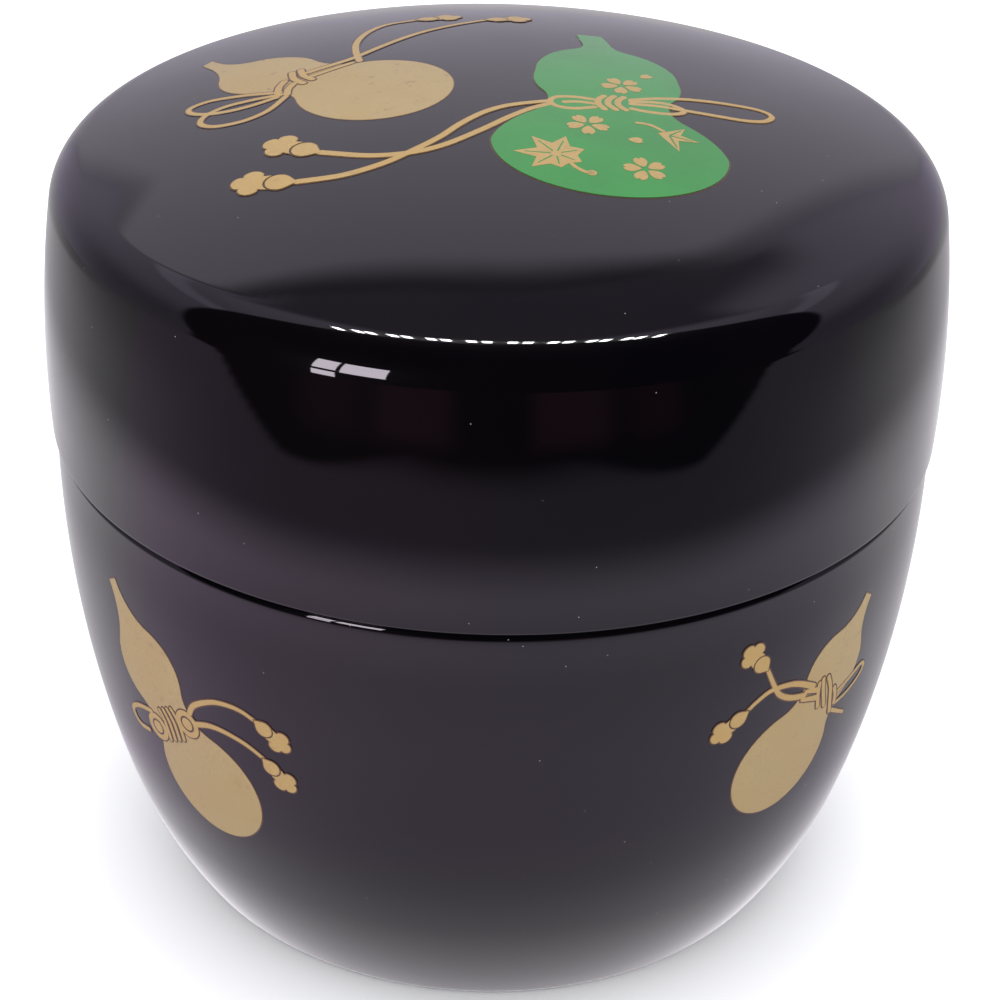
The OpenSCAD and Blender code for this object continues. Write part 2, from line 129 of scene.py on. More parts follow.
class CaddyStudio(bpy.types.PropertyGroup):
    """Camera and light."""

    distance: length("Camera distance", "From the camera to the point it looks at", 0.2039)
    elevation: FloatProperty(
        name="Camera elevation", description="Angle above the table", default=radians(30.5),
        unit="ROTATION",
    )
    roll: FloatProperty(
        name="Camera roll", description="Turn of the camera about its own axis",
        default=radians(1.51), unit="ROTATION",
    )
    lens: FloatProperty(name="Lens", description="Focal length in millimetres", default=95.26)
    tent: FloatProperty(name="Tent", description="Brightness of the cloth tent", default=1.0)
    daylight: FloatProperty(name="Daylight", description="Strength of the soft light", default=1.75)


# ---- plane geometry ----


def polar(centre, r, angle):
    """Point at radius r and an angle in degrees from a centre."""
    return Vector((centre[0] + r * cos(radians(angle)), centre[1] + r * sin(radians(angle))))


def arc(centre, r, start, end, steps):
    """Points of an arc, both ends included."""
    return [polar(centre, r, start + (end - start) * i / steps) for i in range(steps + 1)]


def heading(v):
    """Direction of a vector, in degrees."""
    return degrees(atan2(v[1], v[0]))


def meet(c1, r1, c2, r2):
    """Crossing of two circles, the one to the right of the line from c1 to c2."""
    c1, c2 = Vector(c1), Vector(c2)
    gap = (c2 - c1).length
    along = (c2 - c1) / gap
    foot = (r1 * r1 - r2 * r2 + gap * gap) / (2 * gap)
    return c1 + along * foot + Vector((along.y, -along.x)) * sqrt(r1 * r1 - foot * foot)


def smooth(route, steps=10):
    """Smooth curve through the points of a route."""
    points = [Vector(p) for p in route]
    last = len(points) - 1
    curve = []
    for i in range(last):
        a, b, c, d = points[max(i - 1, 0)], points[i], points[i + 1], points[min(i + 2, last)]
        for k in range(steps):
            t = k / steps
            bend = 2 * a - 5 * b + 4 * c - d
            twist = 3 * b - 3 * c + d - a
            curve.append(0.5 * (2 * b + (c - a) * t + bend * t * t + twist * t ** 3))
    return curve + [points[last]]


def smoothstep(low, high, value):
    """0 below low, 1 above high, and an even rise between."""
    t = min(max((value - low) / (high - low), 0), 1)
    return t * t * (3 - 2 * t)


def mix(a, b, t):
    """Value t of the way from a to b."""
    return a + (b - a) * t


# ---- turned outlines ----


class Outlines:
    """Half sections of the caddy, in millimetres, worked out from the frame and the sizes."""

    LONG = 48
    SHORT = 16

    def __init__(self, s):
        lid_low, lid_high = in_mm("lid_lacquer")
        body_high = in_mm("body_lacquer")[1]
        self.s = s
        self.h = lid_high.z
        self.seam_z = lid_low.z
        self.ledge_z = body_high.z
        self.rim_top = in_mm("body_inner_lacquer")[1].z
        self.split_z = in_mm("base_lacquer")[1].z
        self.lip_round = 0.3
        self.ledge_round = 0.6
        self.rim_round = 0.4
        self.dome_r = s.dome_r / MM
        self.dome_c = Vector((0, self.h - self.dome_r))
        self.side_r = s.lid_wall_r / MM
        self.side_c = Vector((lid_high.x - self.side_r, s.lid_wide_z / MM))
        self.shoulder_r = s.shoulder_r / MM
        self.shoulder_c = meet(
            self.dome_c, self.dome_r - self.shoulder_r, self.side_c, self.side_r - self.shoulder_r
        )
        self.place_body()

    def place_body(self):
        """Centres of the arcs of the body's wall, from the lid's edge down to the foot."""
        s = self.s
        edge = self.side_c.x + sqrt(self.side_r ** 2 - (self.seam_z - self.side_c.y) ** 2)
        self.wall_r = s.wall_r / MM
        centre_z = s.wall_centre_z / MM
        drop = sqrt(self.wall_r ** 2 - (self.ledge_z - centre_z) ** 2)
        self.wall_c = Vector((edge - s.seam_step / MM - drop, centre_z))
        self.low_r = s.low_r / MM
        self.join_z = s.low_join_z / MM
        self.join_a = degrees(asin((self.join_z - centre_z) / self.wall_r))
        self.low_c = polar(self.wall_c, self.wall_r - self.low_r, self.join_a)
        self.foot_r = s.foot_round / MM
        self.foot_a = degrees(asin((self.foot_r - self.low_c.y) / (self.low_r - self.foot_r)))
        self.foot_c = polar(self.low_c, self.low_r - self.foot_r, self.foot_a)
        reach = (self.ledge_z - self.ledge_round - centre_z) / (self.wall_r - self.ledge_round)
        self.ledge_a = degrees(asin(reach))
        self.ledge_c = polar(self.wall_c, self.wall_r - self.ledge_round, self.ledge_a)

    def lid_outer(self, t=0.0):
        """Outside of the lid from its lip up to the axis, t inside the finished surface."""
        lip_sin = (self.seam_z + self.lip_round - self.side_c.y) / (self.side_r - self.lip_round)
        lip_a = degrees(asin(lip_sin))
        lip_c = polar(self.side_c, self.side_r - self.lip_round, lip_a)
        low = heading(self.shoulder_c - self.side_c)
        high = heading(self.shoulder_c - self.dome_c)
        lip = [Vector((polar(lip_c, self.lip_round - t, -90).x, self.seam_z))]
        if t == 0:
            lip = arc(lip_c, self.lip_round, -90, lip_a, self.SHORT)
        return (
            lip
            + arc(self.side_c, self.side_r - t, lip_a, low, self.LONG)[1:]
            + arc(self.shoulder_c, self.shoulder_r - t, low, high, 2 * self.SHORT)[1:]
            + arc(self.dome_c, self.dome_r - t, high, 90, 2 * self.LONG)[1:]
        )

    def lid_inner(self, t=0.0):
        """Hollow of the lid from the bore's mouth up to the axis, grown by t."""
        bore = self.s.lid_bore_r / MM
        fillet = self.s.lid_fillet_r / MM
        ceiling = self.dome_r - self.s.lid_top_t / MM
        rise = sqrt((ceiling - fillet) ** 2 - (bore - fillet) ** 2)
        centre = Vector((bore - fillet, self.dome_c.y + rise))
        turn = heading(centre - self.dome_c)
        return (
            [Vector((bore + t, self.seam_z))]
            + arc(centre, fillet + t, 0, turn, self.SHORT)
            + arc(self.dome_c, ceiling + t, turn, 90, self.LONG)[1:]
        )

    def wall(self, t=0.0, low_z=None):
        """Outside of the body from the foot up to the ledge's edge, t inside the surface."""
        points = (
            arc(self.foot_c, self.foot_r - t, -90, self.foot_a, self.SHORT)
            + arc(self.low_c, self.low_r - t, self.foot_a, self.join_a, self.LONG)[1:]
            + arc(self.wall_c, self.wall_r - t, self.join_a, self.ledge_a, 2 * self.LONG)[1:]
            + arc(self.ledge_c, self.ledge_round - t, self.ledge_a, 90, self.SHORT)[1:]
        )
        return points if low_z is None else cut_above(points, low_z)

    def hollow(self, t=0.0):
        """Hollow of the body from the middle of its floor up the wall to the rim, grown by t."""
        s = self.s
        wall_t = s.wall_t / MM
        fillet = s.floor_fillet_r / MM
        inner = s.inner_r / MM
        floor_z = s.floor_t / MM
        sine = (floor_z + fillet - self.low_c.y) / (self.low_r - wall_t - fillet)
        floor_a = degrees(asin(sine))
        centre = polar(self.low_c, self.low_r - wall_t - fillet, floor_a)
        end = -degrees(acos((inner + t - self.wall_c.x) / (self.wall_r - wall_t + t)))
        return (
            [Vector((0, floor_z - t))]
            + arc(centre, fillet + t, -90, floor_a, self.SHORT)
            + arc(self.low_c, self.low_r - wall_t + t, floor_a, self.join_a, self.LONG)[1:]
            + arc(self.wall_c, self.wall_r - wall_t + t, self.join_a, end, self.LONG)[1:]
        )

    def radius(self, z):
        """Radius of the body's outside at a height."""
        centre, r = (self.low_c, self.low_r) if z < self.join_z else (self.wall_c, self.wall_r)
        return centre.x + sqrt(r * r - (z - centre.y) ** 2)

    def slope(self, z):
        """Angle of the body's outward normal above the horizon, at a height."""
        centre, r = (self.low_c, self.low_r) if z < self.join_z else (self.wall_c, self.wall_r)
        return asin((z - centre.y) / r)


def cut_above(points, z):
    """The stretch of a rising outline above a height, starting exactly on it."""
    for i in range(1, len(points)):
        a, b = points[i - 1], points[i]
        if a.y < z <= b.y:
            return [a.lerp(b, (z - a.y) / (b.y - a.y))] + points[i:]
    return points


def cut_below(points, z):
    """The stretch of a rising outline below a height, ending exactly on it."""
    for i in range(1, len(points)):
        a, b = points[i - 1], points[i]
        if a.y < z <= b.y:
            return points[:i] + [a.lerp(b, (z - a.y) / (b.y - a.y))]
    return points


# ---- meshes ----


class Build:
    """Vertices and faces of a mesh as it is put together, in millimetres."""

    def __init__(self):
        self.verts = []
        self.faces = []

    def vert(self, point):
        """Adds a point and returns its number."""
        self.verts.append(tuple(c * MM for c in point))
        return len(self.verts) - 1

    def tube(self, rings):
        """Closes a row of rings of points into a solid with flat ends."""
        rows = [[self.vert(p) for p in ring] for ring in rings]
        count = len(rows[0])
        for low, high in zip(rows, rows[1:]):
            for k in range(count):
                n = (k + 1) % count
                self.faces.append((low[k], high[k], high[n], low[n]))
        self.faces.append(tuple(rows[0]))
        self.faces.append(tuple(reversed(rows[-1])))

    def piece(self, name, sharp=radians(35)):
        """The finished object: points that coincide joined, smooth but for its true edges."""
        mesh = bpy.data.meshes.new(name)
        mesh.from_pydata(self.verts, [], self.faces)
        mesh.validate()
        work = bmesh.new()
        work.from_mesh(mesh)
        bmesh.ops.remove_doubles(work, verts=work.verts, dist=0.0004 * MM)
        bmesh.ops.dissolve_degenerate(work, dist=0.0002 * MM, edges=work.edges)
        bmesh.ops.recalc_face_normals(work, faces=work.faces)
        work.to_mesh(mesh)
        work.free()
        mesh.shade_smooth()
        mesh.set_sharp_from_angle(angle=sharp)
        obj = bpy.data.objects.new(name, mesh)
        bpy.context.scene.collection.objects.link(obj)
        return obj


def turned(name, section, segments=360):
    """A closed half section turned about the axis; its points on the axis become poles."""
    build = Build()
    columns = []
    for p in section:
        if p.x < 1e-6:
            columns.append([build.vert((0, 0, p.y))])
            continue
        ring = []
        for k in range(segments):
            a = 2 * pi * k / segments
            ring.append(build.vert((p.x * cos(a), p.x * sin(a), p.y)))
        columns.append(ring)
    count = len(columns)
    for i in range(count):
        low, high = columns[i], columns[(i + 1) % count]
        if len(low) == 1 and len(high) == 1:
            continue
        for k in range(segments):
            n = (k + 1) % segments
            if len(low) == 1:
                build.faces.append((low[0], high[n], high[k]))
            elif len(high) == 1:
                build.faces.append((low[k], low[n], high[0]))
            else:
                build.faces.append((low[k], low[n], high[n], high[k]))
    return build.piece(name)


# ---- materials ----


class Finish:
    """A procedural material in the making."""

    def __init__(self, name):
        self.material = bpy.data.materials.new(name)
        self.material.use_nodes = True
        self.nodes = self.material.node_tree.nodes
        self.links = self.material.node_tree.links
        self.nodes.clear()
        output = self.nodes.new("ShaderNodeOutputMaterial")
        self.shader = self.nodes.new("ShaderNodeBsdfPrincipled")
        self.links.new(self.shader.outputs["BSDF"], output.inputs["Surface"])
        self.place = self.nodes.new("ShaderNodeTexCoord").outputs["Object"]

    def put(self, socket, value):
        """Sets an input, or links it when the value is another node's output."""
        if isinstance(value, bpy.types.NodeSocket):
            self.links.new(value, socket)
        elif hasattr(value, "__len__") and len(value) == 3 and socket.type == "RGBA":
            socket.default_value = (*value, 1)
        else:
            socket.default_value = value

    def set(self, **values):
        """Sets inputs of the shader by name, with _ for a space."""
        for name, value in values.items():
            self.put(self.shader.inputs[name.replace("_", " ")], value)

    def node(self, kind, settings=None, **inputs):
        """Adds a node and sets its settings and inputs."""
        made = self.nodes.new(kind)
        for name, value in (settings or {}).items():
            setattr(made, name, value)
        for name, value in inputs.items():
            self.put(made.inputs[name.replace("_", " ")], value)
        return made

    def noise(self, scale, detail=3.0, distortion=0.0, place=None):
        """Value of a noise with so many features to the metre."""
        return self.node(
            "ShaderNodeTexNoise", Vector=place or self.place, Scale=scale, Detail=detail,
            Distortion=distortion,
        ).outputs["Fac"]

    def specks(self, scale, size):
        """1 inside small scattered dots, 0 elsewhere. The size is a share of their spacing."""
        cells = self.node(
            "ShaderNodeTexVoronoi", Vector=self.place, Scale=scale, Randomness=1.0
        ).outputs["Distance"]
        return self.span(cells, size, size * 0.6, 0.0, 1.0)

    def span(self, value, low, high, new_low, new_high):
        """The value carried from one range to another, held at its ends."""
        made = self.node("ShaderNodeMapRange", {"interpolation_type": "SMOOTHSTEP"})
        for socket, number in zip(list(made.inputs)[:5], (value, low, high, new_low, new_high)):
            self.put(socket, number)
        return made.outputs["Result"]

    def blend(self, amount, a, b):
        """Mix of two colours."""
        made = self.node("ShaderNodeMix", {"data_type": "RGBA"})
        self.put(made.inputs[0], amount)
        self.put(made.inputs[6], a)
        self.put(made.inputs[7], b)
        return made.outputs[2]

    def math(self, a, b, operation="ADD"):
        """Two values joined by an operation."""
        made = self.node("ShaderNodeMath", {"operation": operation})
        self.put(made.inputs[0], a)
        self.put(made.inputs[1], b)
        return made.outputs[0]

    def bump(self, height, depth, below=None):
        """A surface normal raised by a height, depth metres deep where it is 1."""
        made = self.node("ShaderNodeBump", Height=height, Distance=depth, Strength=1.0)
        if below is not None:
            self.links.new(below, made.inputs["Normal"])
        return made.outputs["Normal"]


def polished_lacquer(f):
    """Black lacquer, hand polished: deep gloss, a faint ripple, cloudy depth and a little dust."""
    finish = Finish("polished_black_lacquer")
    drift = finish.span(finish.noise(34, 4, 0.6), 0.42, 0.66, 0.0, 1.0)
    tone = finish.blend(drift, tuple(f.lacquer), tuple(f.lacquer_warm))
    dust = finish.specks(520, 0.022)
    finish.set(
        Base_Color=finish.blend(dust, tone, (0.34, 0.31, 0.30)),
        Roughness=finish.span(finish.noise(120, 3), 0.3, 0.7, 0.30, 0.42),
        Specular_IOR_Level=0.012,
        IOR=1.5,
        Coat_Weight=1.0,
        Coat_Roughness=f.gloss,
        Coat_IOR=1.5,
    )
    ripple = finish.bump(finish.noise(260, 2), 0.0000028)
    finish.put(finish.shader.inputs["Coat Normal"], finish.bump(dust, 0.00001, ripple))
    finish.put(finish.shader.inputs["Normal"], finish.bump(finish.noise(900, 2), 0.000004))
    return finish.material


def satin_lacquer(f):
    """Lacquer inside the caddy: the same black, brushed and left satin."""
    finish = Finish("satin_black_lacquer")
    brushed = finish.node(
        "ShaderNodeMapping", {"vector_type": "POINT"}, Vector=finish.place, Scale=(1, 1, 9)
    ).outputs["Vector"]
    strokes = finish.noise(150, 4, 0.3, brushed)
    finish.set(
        Base_Color=finish.blend(strokes, tuple(f.lacquer_warm), tuple(f.lining)),
        Roughness=finish.span(strokes, 0.3, 0.7, 0.16, 0.27),
        IOR=1.5,
    )
    finish.put(finish.shader.inputs["Normal"], finish.bump(strokes, 0.000006))
    return finish.material


# Radius of the ring that the base stands on, and of the edge of its polished foot, in metres
RING_R = 0.0225
POLISHED_R = 0.0240


def base_lacquer(f):
    """Lacquer of the foot and the base: polished up the wall, satin below, its ring rubbed by use."""
    finish = Finish("base_black_lacquer")
    place = finish.node("ShaderNodeSeparateXYZ", Vector=finish.place)
    across = finish.math(place.outputs["X"], place.outputs["X"], "MULTIPLY")
    along = finish.math(place.outputs["Y"], place.outputs["Y"], "MULTIPLY")
    r = finish.math(finish.math(across, along), 0.5, "POWER")
    off_ring = finish.math(finish.math(r, RING_R, "SUBTRACT"), 0.0, "ABSOLUTE")
    ring = finish.span(off_ring, 0.0022, 0.0006, 0.0, 1.0)
    low = finish.span(place.outputs["Z"], 0.00012, 0.00003, 0.0, 1.0)
    scuffs = finish.span(finish.noise(700, 5, 1.5), 0.5, 0.62, 0.0, 1.0)
    worn = finish.math(finish.math(ring, scuffs, "MULTIPLY"), low, "MULTIPLY")
    inner = finish.span(r, POLISHED_R, POLISHED_R - 0.0008, 0.0, 0.35)
    clear = finish.math(1.0, finish.math(inner, worn, "MAXIMUM"), "SUBTRACT")
    finish.set(
        Base_Color=finish.blend(worn, tuple(f.lacquer_warm), (0.05, 0.036, 0.03)),
        Roughness=finish.span(finish.noise(180), 0.3, 0.7, 0.30, 0.42),
        Specular_IOR_Level=0.03,
        Coat_Weight=clear,
        Coat_Roughness=f.gloss,
        Coat_IOR=1.5,
    )
    finish.put(finish.shader.inputs["Coat Normal"], finish.bump(finish.noise(400), 0.000004))
    return finish.material


def turned_wood(f):
    """Close-grained wood turned about the caddy's axis, sealed under the lacquer."""
    finish = Finish("turned_wood")
    grain = finish.node(
        "ShaderNodeMapping", {"vector_type": "POINT"}, Vector=finish.place, Scale=(1, 1, 0.12)
    ).outputs["Vector"]
    rings = finish.node(
        "ShaderNodeTexWave", {"wave_type": "RINGS", "rings_direction": "Z"},
        Vector=grain, Scale=90.0, Distortion=3.0, Detail=3.0,
    ).outputs["Fac"]
    pores = finish.span(finish.noise(2600, 2, 0, grain), 0.6, 0.68, 0.0, 1.0)
    wood = Vector(f.wood)
    light = finish.blend(rings, tuple(wood), tuple(wood * 0.72))
    finish.set(
        Base_Color=finish.blend(pores, light, tuple(wood * 0.4)),
        Roughness=finish.span(rings, 0.0, 1.0, 0.5, 0.62),
        IOR=1.45,
    )
    finish.put(finish.shader.inputs["Normal"], finish.bump(pores, -0.00003))
    return finish.material


def gold(name, tone, wear):
    """Fine gold powder burnished on lacquer: satin, slightly grainy, thin in small worn patches."""
    finish = Finish(name)
    grain = finish.noise(5200, 2)
    cloud = finish.noise(150, 4, 0.5)
    bright = finish.blend(finish.span(grain, 0.35, 0.65, 0.0, 1.0), tuple(Vector(tone) * 0.90),
                          tuple(Vector(tone) * 1.06))
    warm = finish.blend(finish.span(cloud, 0.4, 0.7, 0.0, 1.0), bright,
                        (tone[0] * 0.98, tone[1] * 0.94, tone[2] * 0.86))
    patches = finish.span(finish.noise(420, 3), 0.52, 0.66, 0.0, 1.0)
    thin = finish.span(finish.noise(1900, 3), 0.56, 0.62, 0.0, wear)
    rubbed = finish.math(patches, thin, "MULTIPLY")
    finish.set(
        Base_Color=finish.blend(rubbed, warm, (0.16, 0.11, 0.06)),
        Metallic=0.35,
        Roughness=finish.span(grain, 0.3, 0.7, 0.34, 0.50),
        IOR=1.5,
    )
    finish.put(finish.shader.inputs["Normal"], finish.bump(grain, 0.000004))
    return finish.material


def drawing_lacquer(f):
    """Brown lacquer that holds the gold, seen as a fine line round it."""
    finish = Finish("drawing_lacquer")
    tone = Vector(f.drawing)
    finish.set(
        Base_Color=finish.blend(finish.noise(800), tuple(tone * 0.75), tuple(tone * 1.3)),
        Roughness=finish.span(finish.noise(300), 0.3, 0.7, 0.25, 0.4),
        IOR=1.5,
    )
    return finish.material


def green_lacquer(f):
    """Green pigment in clear lacquer, polished level with the ground."""
    finish = Finish("green_lacquer")
    tone = Vector(f.green)
    cloud = finish.span(finish.noise(95, 4, 0.4), 0.35, 0.7, 0.0, 1.0)
    flecks = finish.span(finish.noise(3600, 2), 0.6, 0.7, 0.0, 0.35)
    deep = finish.blend(cloud, tuple(tone), tuple(tone * 0.86))
    finish.set(
        Base_Color=finish.blend(flecks, deep, (tone[0] * 1.8, tone[1] * 1.15, tone[2] * 1.7)),
        Roughness=finish.span(finish.noise(140), 0.3, 0.7, 0.32, 0.44),
        Specular_IOR_Level=0.02,
        Coat_Weight=1.0,
        Coat_Roughness=0.06,
        Coat_IOR=1.5,
    )
    finish.put(finish.shader.inputs["Coat Normal"], finish.bump(finish.noise(320, 2), 0.000003))
    return finish.material


def finished(obj, body, slot, material, *nodes):
    """Gives a piece its material and its body, and hides the nodes it stands for."""
    obj.data.materials.append(material)
    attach(obj, body)
    if nodes:
        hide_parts(*nodes)


# ---- drawings: shapes in the plane, in millimetres ----


def gourd_rows(low, high, gap, waist, neck, tip, stalk, wide=(1, 1), lean=0, over=0.0):
    """Rows across a gourd from the foot of its large lobe to the end of its stalk.

    low, high: radii of the lobes; gap: distance between their centres; waist, neck: radii of the
    hollow curves above each lobe; tip: half width of the stalk; stalk: its straight length;
    wide: widening of the lobes; lean: how far the stalk's end leans; over: growth all round.
    """
    waist_c = meet((0, 0), low + waist, (0, gap), high + waist)
    neck_y = gap + sqrt((high + neck) ** 2 - (tip + neck) ** 2)
    neck_c = Vector((tip + neck, neck_y))
    upper = Vector((0, gap))
    side = (
        arc((0, 0), low + over, -90, heading(waist_c), 40)
        + arc(waist_c, waist - over, heading(waist_c) + 180, heading(waist_c - upper) + 180, 10)[1:]
        + arc(upper, high + over, heading(waist_c - upper), heading(neck_c - upper), 24)[1:]
        + arc(neck_c, neck - over, heading(neck_c - upper) + 180, 180, 10)[1:]
        + [Vector((tip * 0.9 + over, neck_y + stalk + over))]
    )
    rows = []
    for p in side:
        up = min(max(p.y / gap, 0), 1)
        bend = max(p.y - gap, 0) / (neck_y + stalk - gap)
        half = p.x * mix(wide[0], wide[1], up)
        shift = lean * bend * bend
        rows.append((Vector((shift - half, p.y)), Vector((shift + half, p.y))))
    return rows


def cord_rows(route, w, over=0.0):
    """Rows across a drawn line, rounded at both ends and grown by over all round.

    w holds the line's widths at its start and its end.
    """
    path = smooth(route)
    last = len(path) - 1
    halves = [mix(w[0], w[1], i / last) / 2 + over for i in range(last + 1)]
    rows = []
    for i, p in enumerate(path):
        along = (path[min(i + 1, last)] - path[max(i - 1, 0)]).normalized()
        across = Vector((-along.y, along.x))
        rows.append((p + across * halves[i], p - across * halves[i]))
    for end, inner, side in ((0, 1, 1), (last, last - 1, -1)):
        out = (path[end] - path[inner]).normalized()
        across = Vector((out.y, -out.x)) * side
        caps = []
        for turn in (30, 60, 88):
            reach = halves[end] * sin(radians(turn))
            spread = halves[end] * cos(radians(turn))
            tip = path[end] + out * reach
            caps.append((tip + across * spread, tip - across * spread))
        rows = list(reversed(caps)) + rows if end == 0 else rows + caps
    return rows


def star_rows(outline, middle, over=0.0):
    """Rings from a shape's outline in to its middle, for shapes that see all of it from there."""
    points = grown([Vector(p) for p in outline], over)
    middle = Vector(middle)
    return [[middle.lerp(p, s) for p in points] for s in (1.0, 0.97, 0.9, 0.6, 0.3)], middle


def grown(points, over):
    """An outline with each point moved out by over."""
    if over == 0:
        return points
    area = sum(a.x * b.y - b.x * a.y for a, b in zip(points, points[1:] + points[:1]))
    side = 1 if area > 0 else -1
    moved = []
    for i, p in enumerate(points):
        before, after = points[i - 1], points[(i + 1) % len(points)]
        d1 = (p - before).normalized()
        d2 = (after - p).normalized()
        n = Vector((d1.y + d2.y, -d1.x - d2.x)) * side
        moved.append(p + n.normalized() * over)
    return moved


def turned_to(points, at, turn):
    """Points turned about the origin and moved to a place."""
    spin = Matrix.Rotation(radians(turn), 2)
    return [Vector(at) + spin @ Vector(p) for p in points]


# Measures of a tassel of size 1: its bud, and its tuft of lobes fanned over a spread in degrees
BUD = {"length": 1.76, "r": 0.72}
TUFT = {"at": 2.5, "r": 1.14, "spread": 255, "lobes": 3, "gap": 0.13,
        "waist": 0.70, "bulge": 0.30}


def bud(size):
    """Bud of a tassel: a drop with its point at the origin, lying along +X."""
    r = BUD["r"] * size
    middle = BUD["length"] * size - r
    a = degrees(acos(r / middle))
    return [Vector((0, 0))] + arc((middle, 0), r, -180 + a, 180 - a, 20)


def tuft(size):
    """Tuft of a tassel: a fan of round lobes, hollowed where the bud sits."""
    middle = (TUFT["at"] * size, 0)
    step = TUFT["spread"] / TUFT["lobes"]
    points = []
    for k in range(TUFT["lobes"]):
        for i in range(11):
            reach = TUFT["r"] * size * (TUFT["waist"] + TUFT["bulge"] * sin(pi * i / 10) ** 0.6)
            points.append(polar(middle, reach, -TUFT["spread"] / 2 + step * (k + i / 10)))
    seat = ((BUD["length"] - BUD["r"]) * size, 0)
    return points + arc(seat, (BUD["r"] + TUFT["gap"]) * size, 52, -52, 10)


def petal(r):
    """One heart-shaped petal pointing along +X from the flower's middle."""
    half = [(0.16, 0), (0.3, 0.15), (0.5, 0.27), (0.68, 0.32), (0.84, 0.29), (0.96, 0.2), (1, 0.12),
            (0.96, 0.05), (0.88, 0)]
    upper = [Vector((x * r, y * r)) for x, y in half]
    return upper + [Vector((p.x, -p.y)) for p in reversed(upper[1:-1])]


def maple(lobes, spread, notch, heel):
    """Star of a maple leaf: lobe lengths at even angles, notches between them and a heel."""
    step = spread / (len(lobes) - 1)
    points = [Vector((-heel, 0))]
    for i in range(2 * len(lobes) - 1):
        reach = lobes[i // 2] if i % 2 == 0 else notch
        points.append(polar((0, 0), reach, -spread / 2 + step * i / 2))
    return points


# ---- drawings: laid on the caddy ----


class OnLid:
    """Carries a drawing in plan up onto the lid's domed top."""

    def __init__(self, outlines):
        self.centre = Vector((0, 0, outlines.dome_c.y))
        self.r = outlines.dome_r

    def __call__(self, p, height):
        rise = sqrt(self.r ** 2 - p[0] ** 2 - p[1] ** 2)
        out = Vector((p[0], p[1], rise)) / self.r
        return self.centre + out * (self.r + height)


class OnBody:
    """Carries a drawing seen square on out onto the body's wall, at a bearing round it."""

    def __init__(self, outlines, bearing):
        self.outlines = outlines
        self.turn = Matrix.Rotation(radians(bearing), 3, "Z")

    def __call__(self, p, height):
        r = self.outlines.radius(p[1])
        slope = self.outlines.slope(p[1])
        out = Vector((p[0], -sqrt(r * r - p[0] ** 2), 0))
        normal = out.normalized() * cos(slope) + Vector((0, 0, sin(slope)))
        return self.turn @ (out + Vector((0, 0, p[1])) + normal * height)


class Drawing:
    """Thin films of one kind, each a closed solid sunk a little into the lacquer."""

    # Height of a film's underside over the lacquer
    SUNK = -0.02

    def __init__(self, lift):
        self.lift = lift
        self.build = Build()

    def band(self, rows, top, columns=12, crown=0.0):
        """A film across rows of points; crown lowers its two edges, for a raised line."""
        rings = []
        for a, b in rows:
            ring = [self.lift(a, self.SUNK)]
            for k in range(columns + 1):
                t = k / columns
                edge = abs(2 * t - 1) ** 4
                ring.append(self.lift(a.lerp(b, t), top - crown * edge))
            ring.append(self.lift(b, self.SUNK))
            rings.append(ring)
        self.build.tube(rings)

    def star(self, outline, middle, top, over=0.0):
        """A film over an outline that its middle point sees whole."""
        rings, centre = star_rows(outline, middle, over)
        rows = [[self.build.vert(self.lift(p, self.SUNK)) for p in rings[0]]]
        rows += [[self.build.vert(self.lift(p, top)) for p in ring] for ring in rings]
        peak = self.build.vert(self.lift(centre, top))
        count = len(rows[0])
        for outer, inner in zip(rows, rows[1:]):
            for k in range(count):
                n = (k + 1) % count
                self.build.faces.append((outer[k], outer[n], inner[n], inner[k]))
        for k in range(count):
            self.build.faces.append((rows[-1][k], rows[-1][(k + 1) % count], peak))
        under = self.build.vert(self.lift(centre, self.SUNK))
        for k in range(count):
            self.build.faces.append((rows[0][(k + 1) % count], rows[0][k], under))


class Motif:
    """A gourd with its knot, bows, cords and tassels, laid in layers that cover one another.

    Each line is brown drawing lacquer with a narrower gold line on it. Lines are laid in order,
    so a later one passes over an earlier one.
    """

    # Height of the brown round the gourd, and step from one line to the next over it
    GROUND = 0.010
    STEP = 0.0020

    def __init__(self, lift, sizes, film, first, rise):
        self.film = Drawing(lift)
        self.under = Drawing(lift)
        self.lines = Drawing(lift)
        self.margin = sizes.margin / MM
        self.film_top = film
        self.level = first
        self.rise = rise

    def gourd(self, shape, at, turn):
        """The gourd's own film, with the drawing lacquer showing round it."""
        for drawing, over, top in (
            (self.under, self.margin, self.GROUND), (self.film, 0.0, self.film_top)
        ):
            rows = []
            for a, b in gourd_rows(*shape, over=over):
                rows.append(tuple(turned_to((a, b), at, turn)))
            drawing.band(rows, top, 24)

    def line(self, route, w):
        """One gold line over its brown one; w holds its widths at its start and its end."""
        self.level += self.STEP
        self.under.band(cord_rows(route, w, self.margin), self.level, 4)
        self.lines.band(cord_rows(route, w), self.level + self.rise, 6, 0.005)

    def patch(self, outline, middle):
        """A small gold shape over its brown one."""
        self.level += self.STEP
        self.under.star(outline, middle, self.level, self.margin)
        self.lines.star(outline, middle, self.level + self.rise)

    def eye(self, at):
        """A bow seen from its end: a gold round with a brown ring drawn on it."""
        self.patch([polar(at, EYE_R, a) for a in range(0, 360, 12)], at)
        ring = [polar(at, 0.52 * EYE_R, a) for a in range(0, 361, 30)]
        top = self.level + self.rise + self.STEP
        self.under.band(cord_rows(ring, (EYE_LINE, EYE_LINE)), top, 4)

    def tassel(self, at, turn, size):
        """Bud and tuft at a cord's end."""
        for outline, middle in (
            (tuft(size), (TUFT["at"] * size, 0)),
            (bud(size), ((BUD["length"] - BUD["r"]) * size, 0)),
        ):
            self.patch(turned_to(outline, at, turn), turned_to([middle], at, turn)[0])


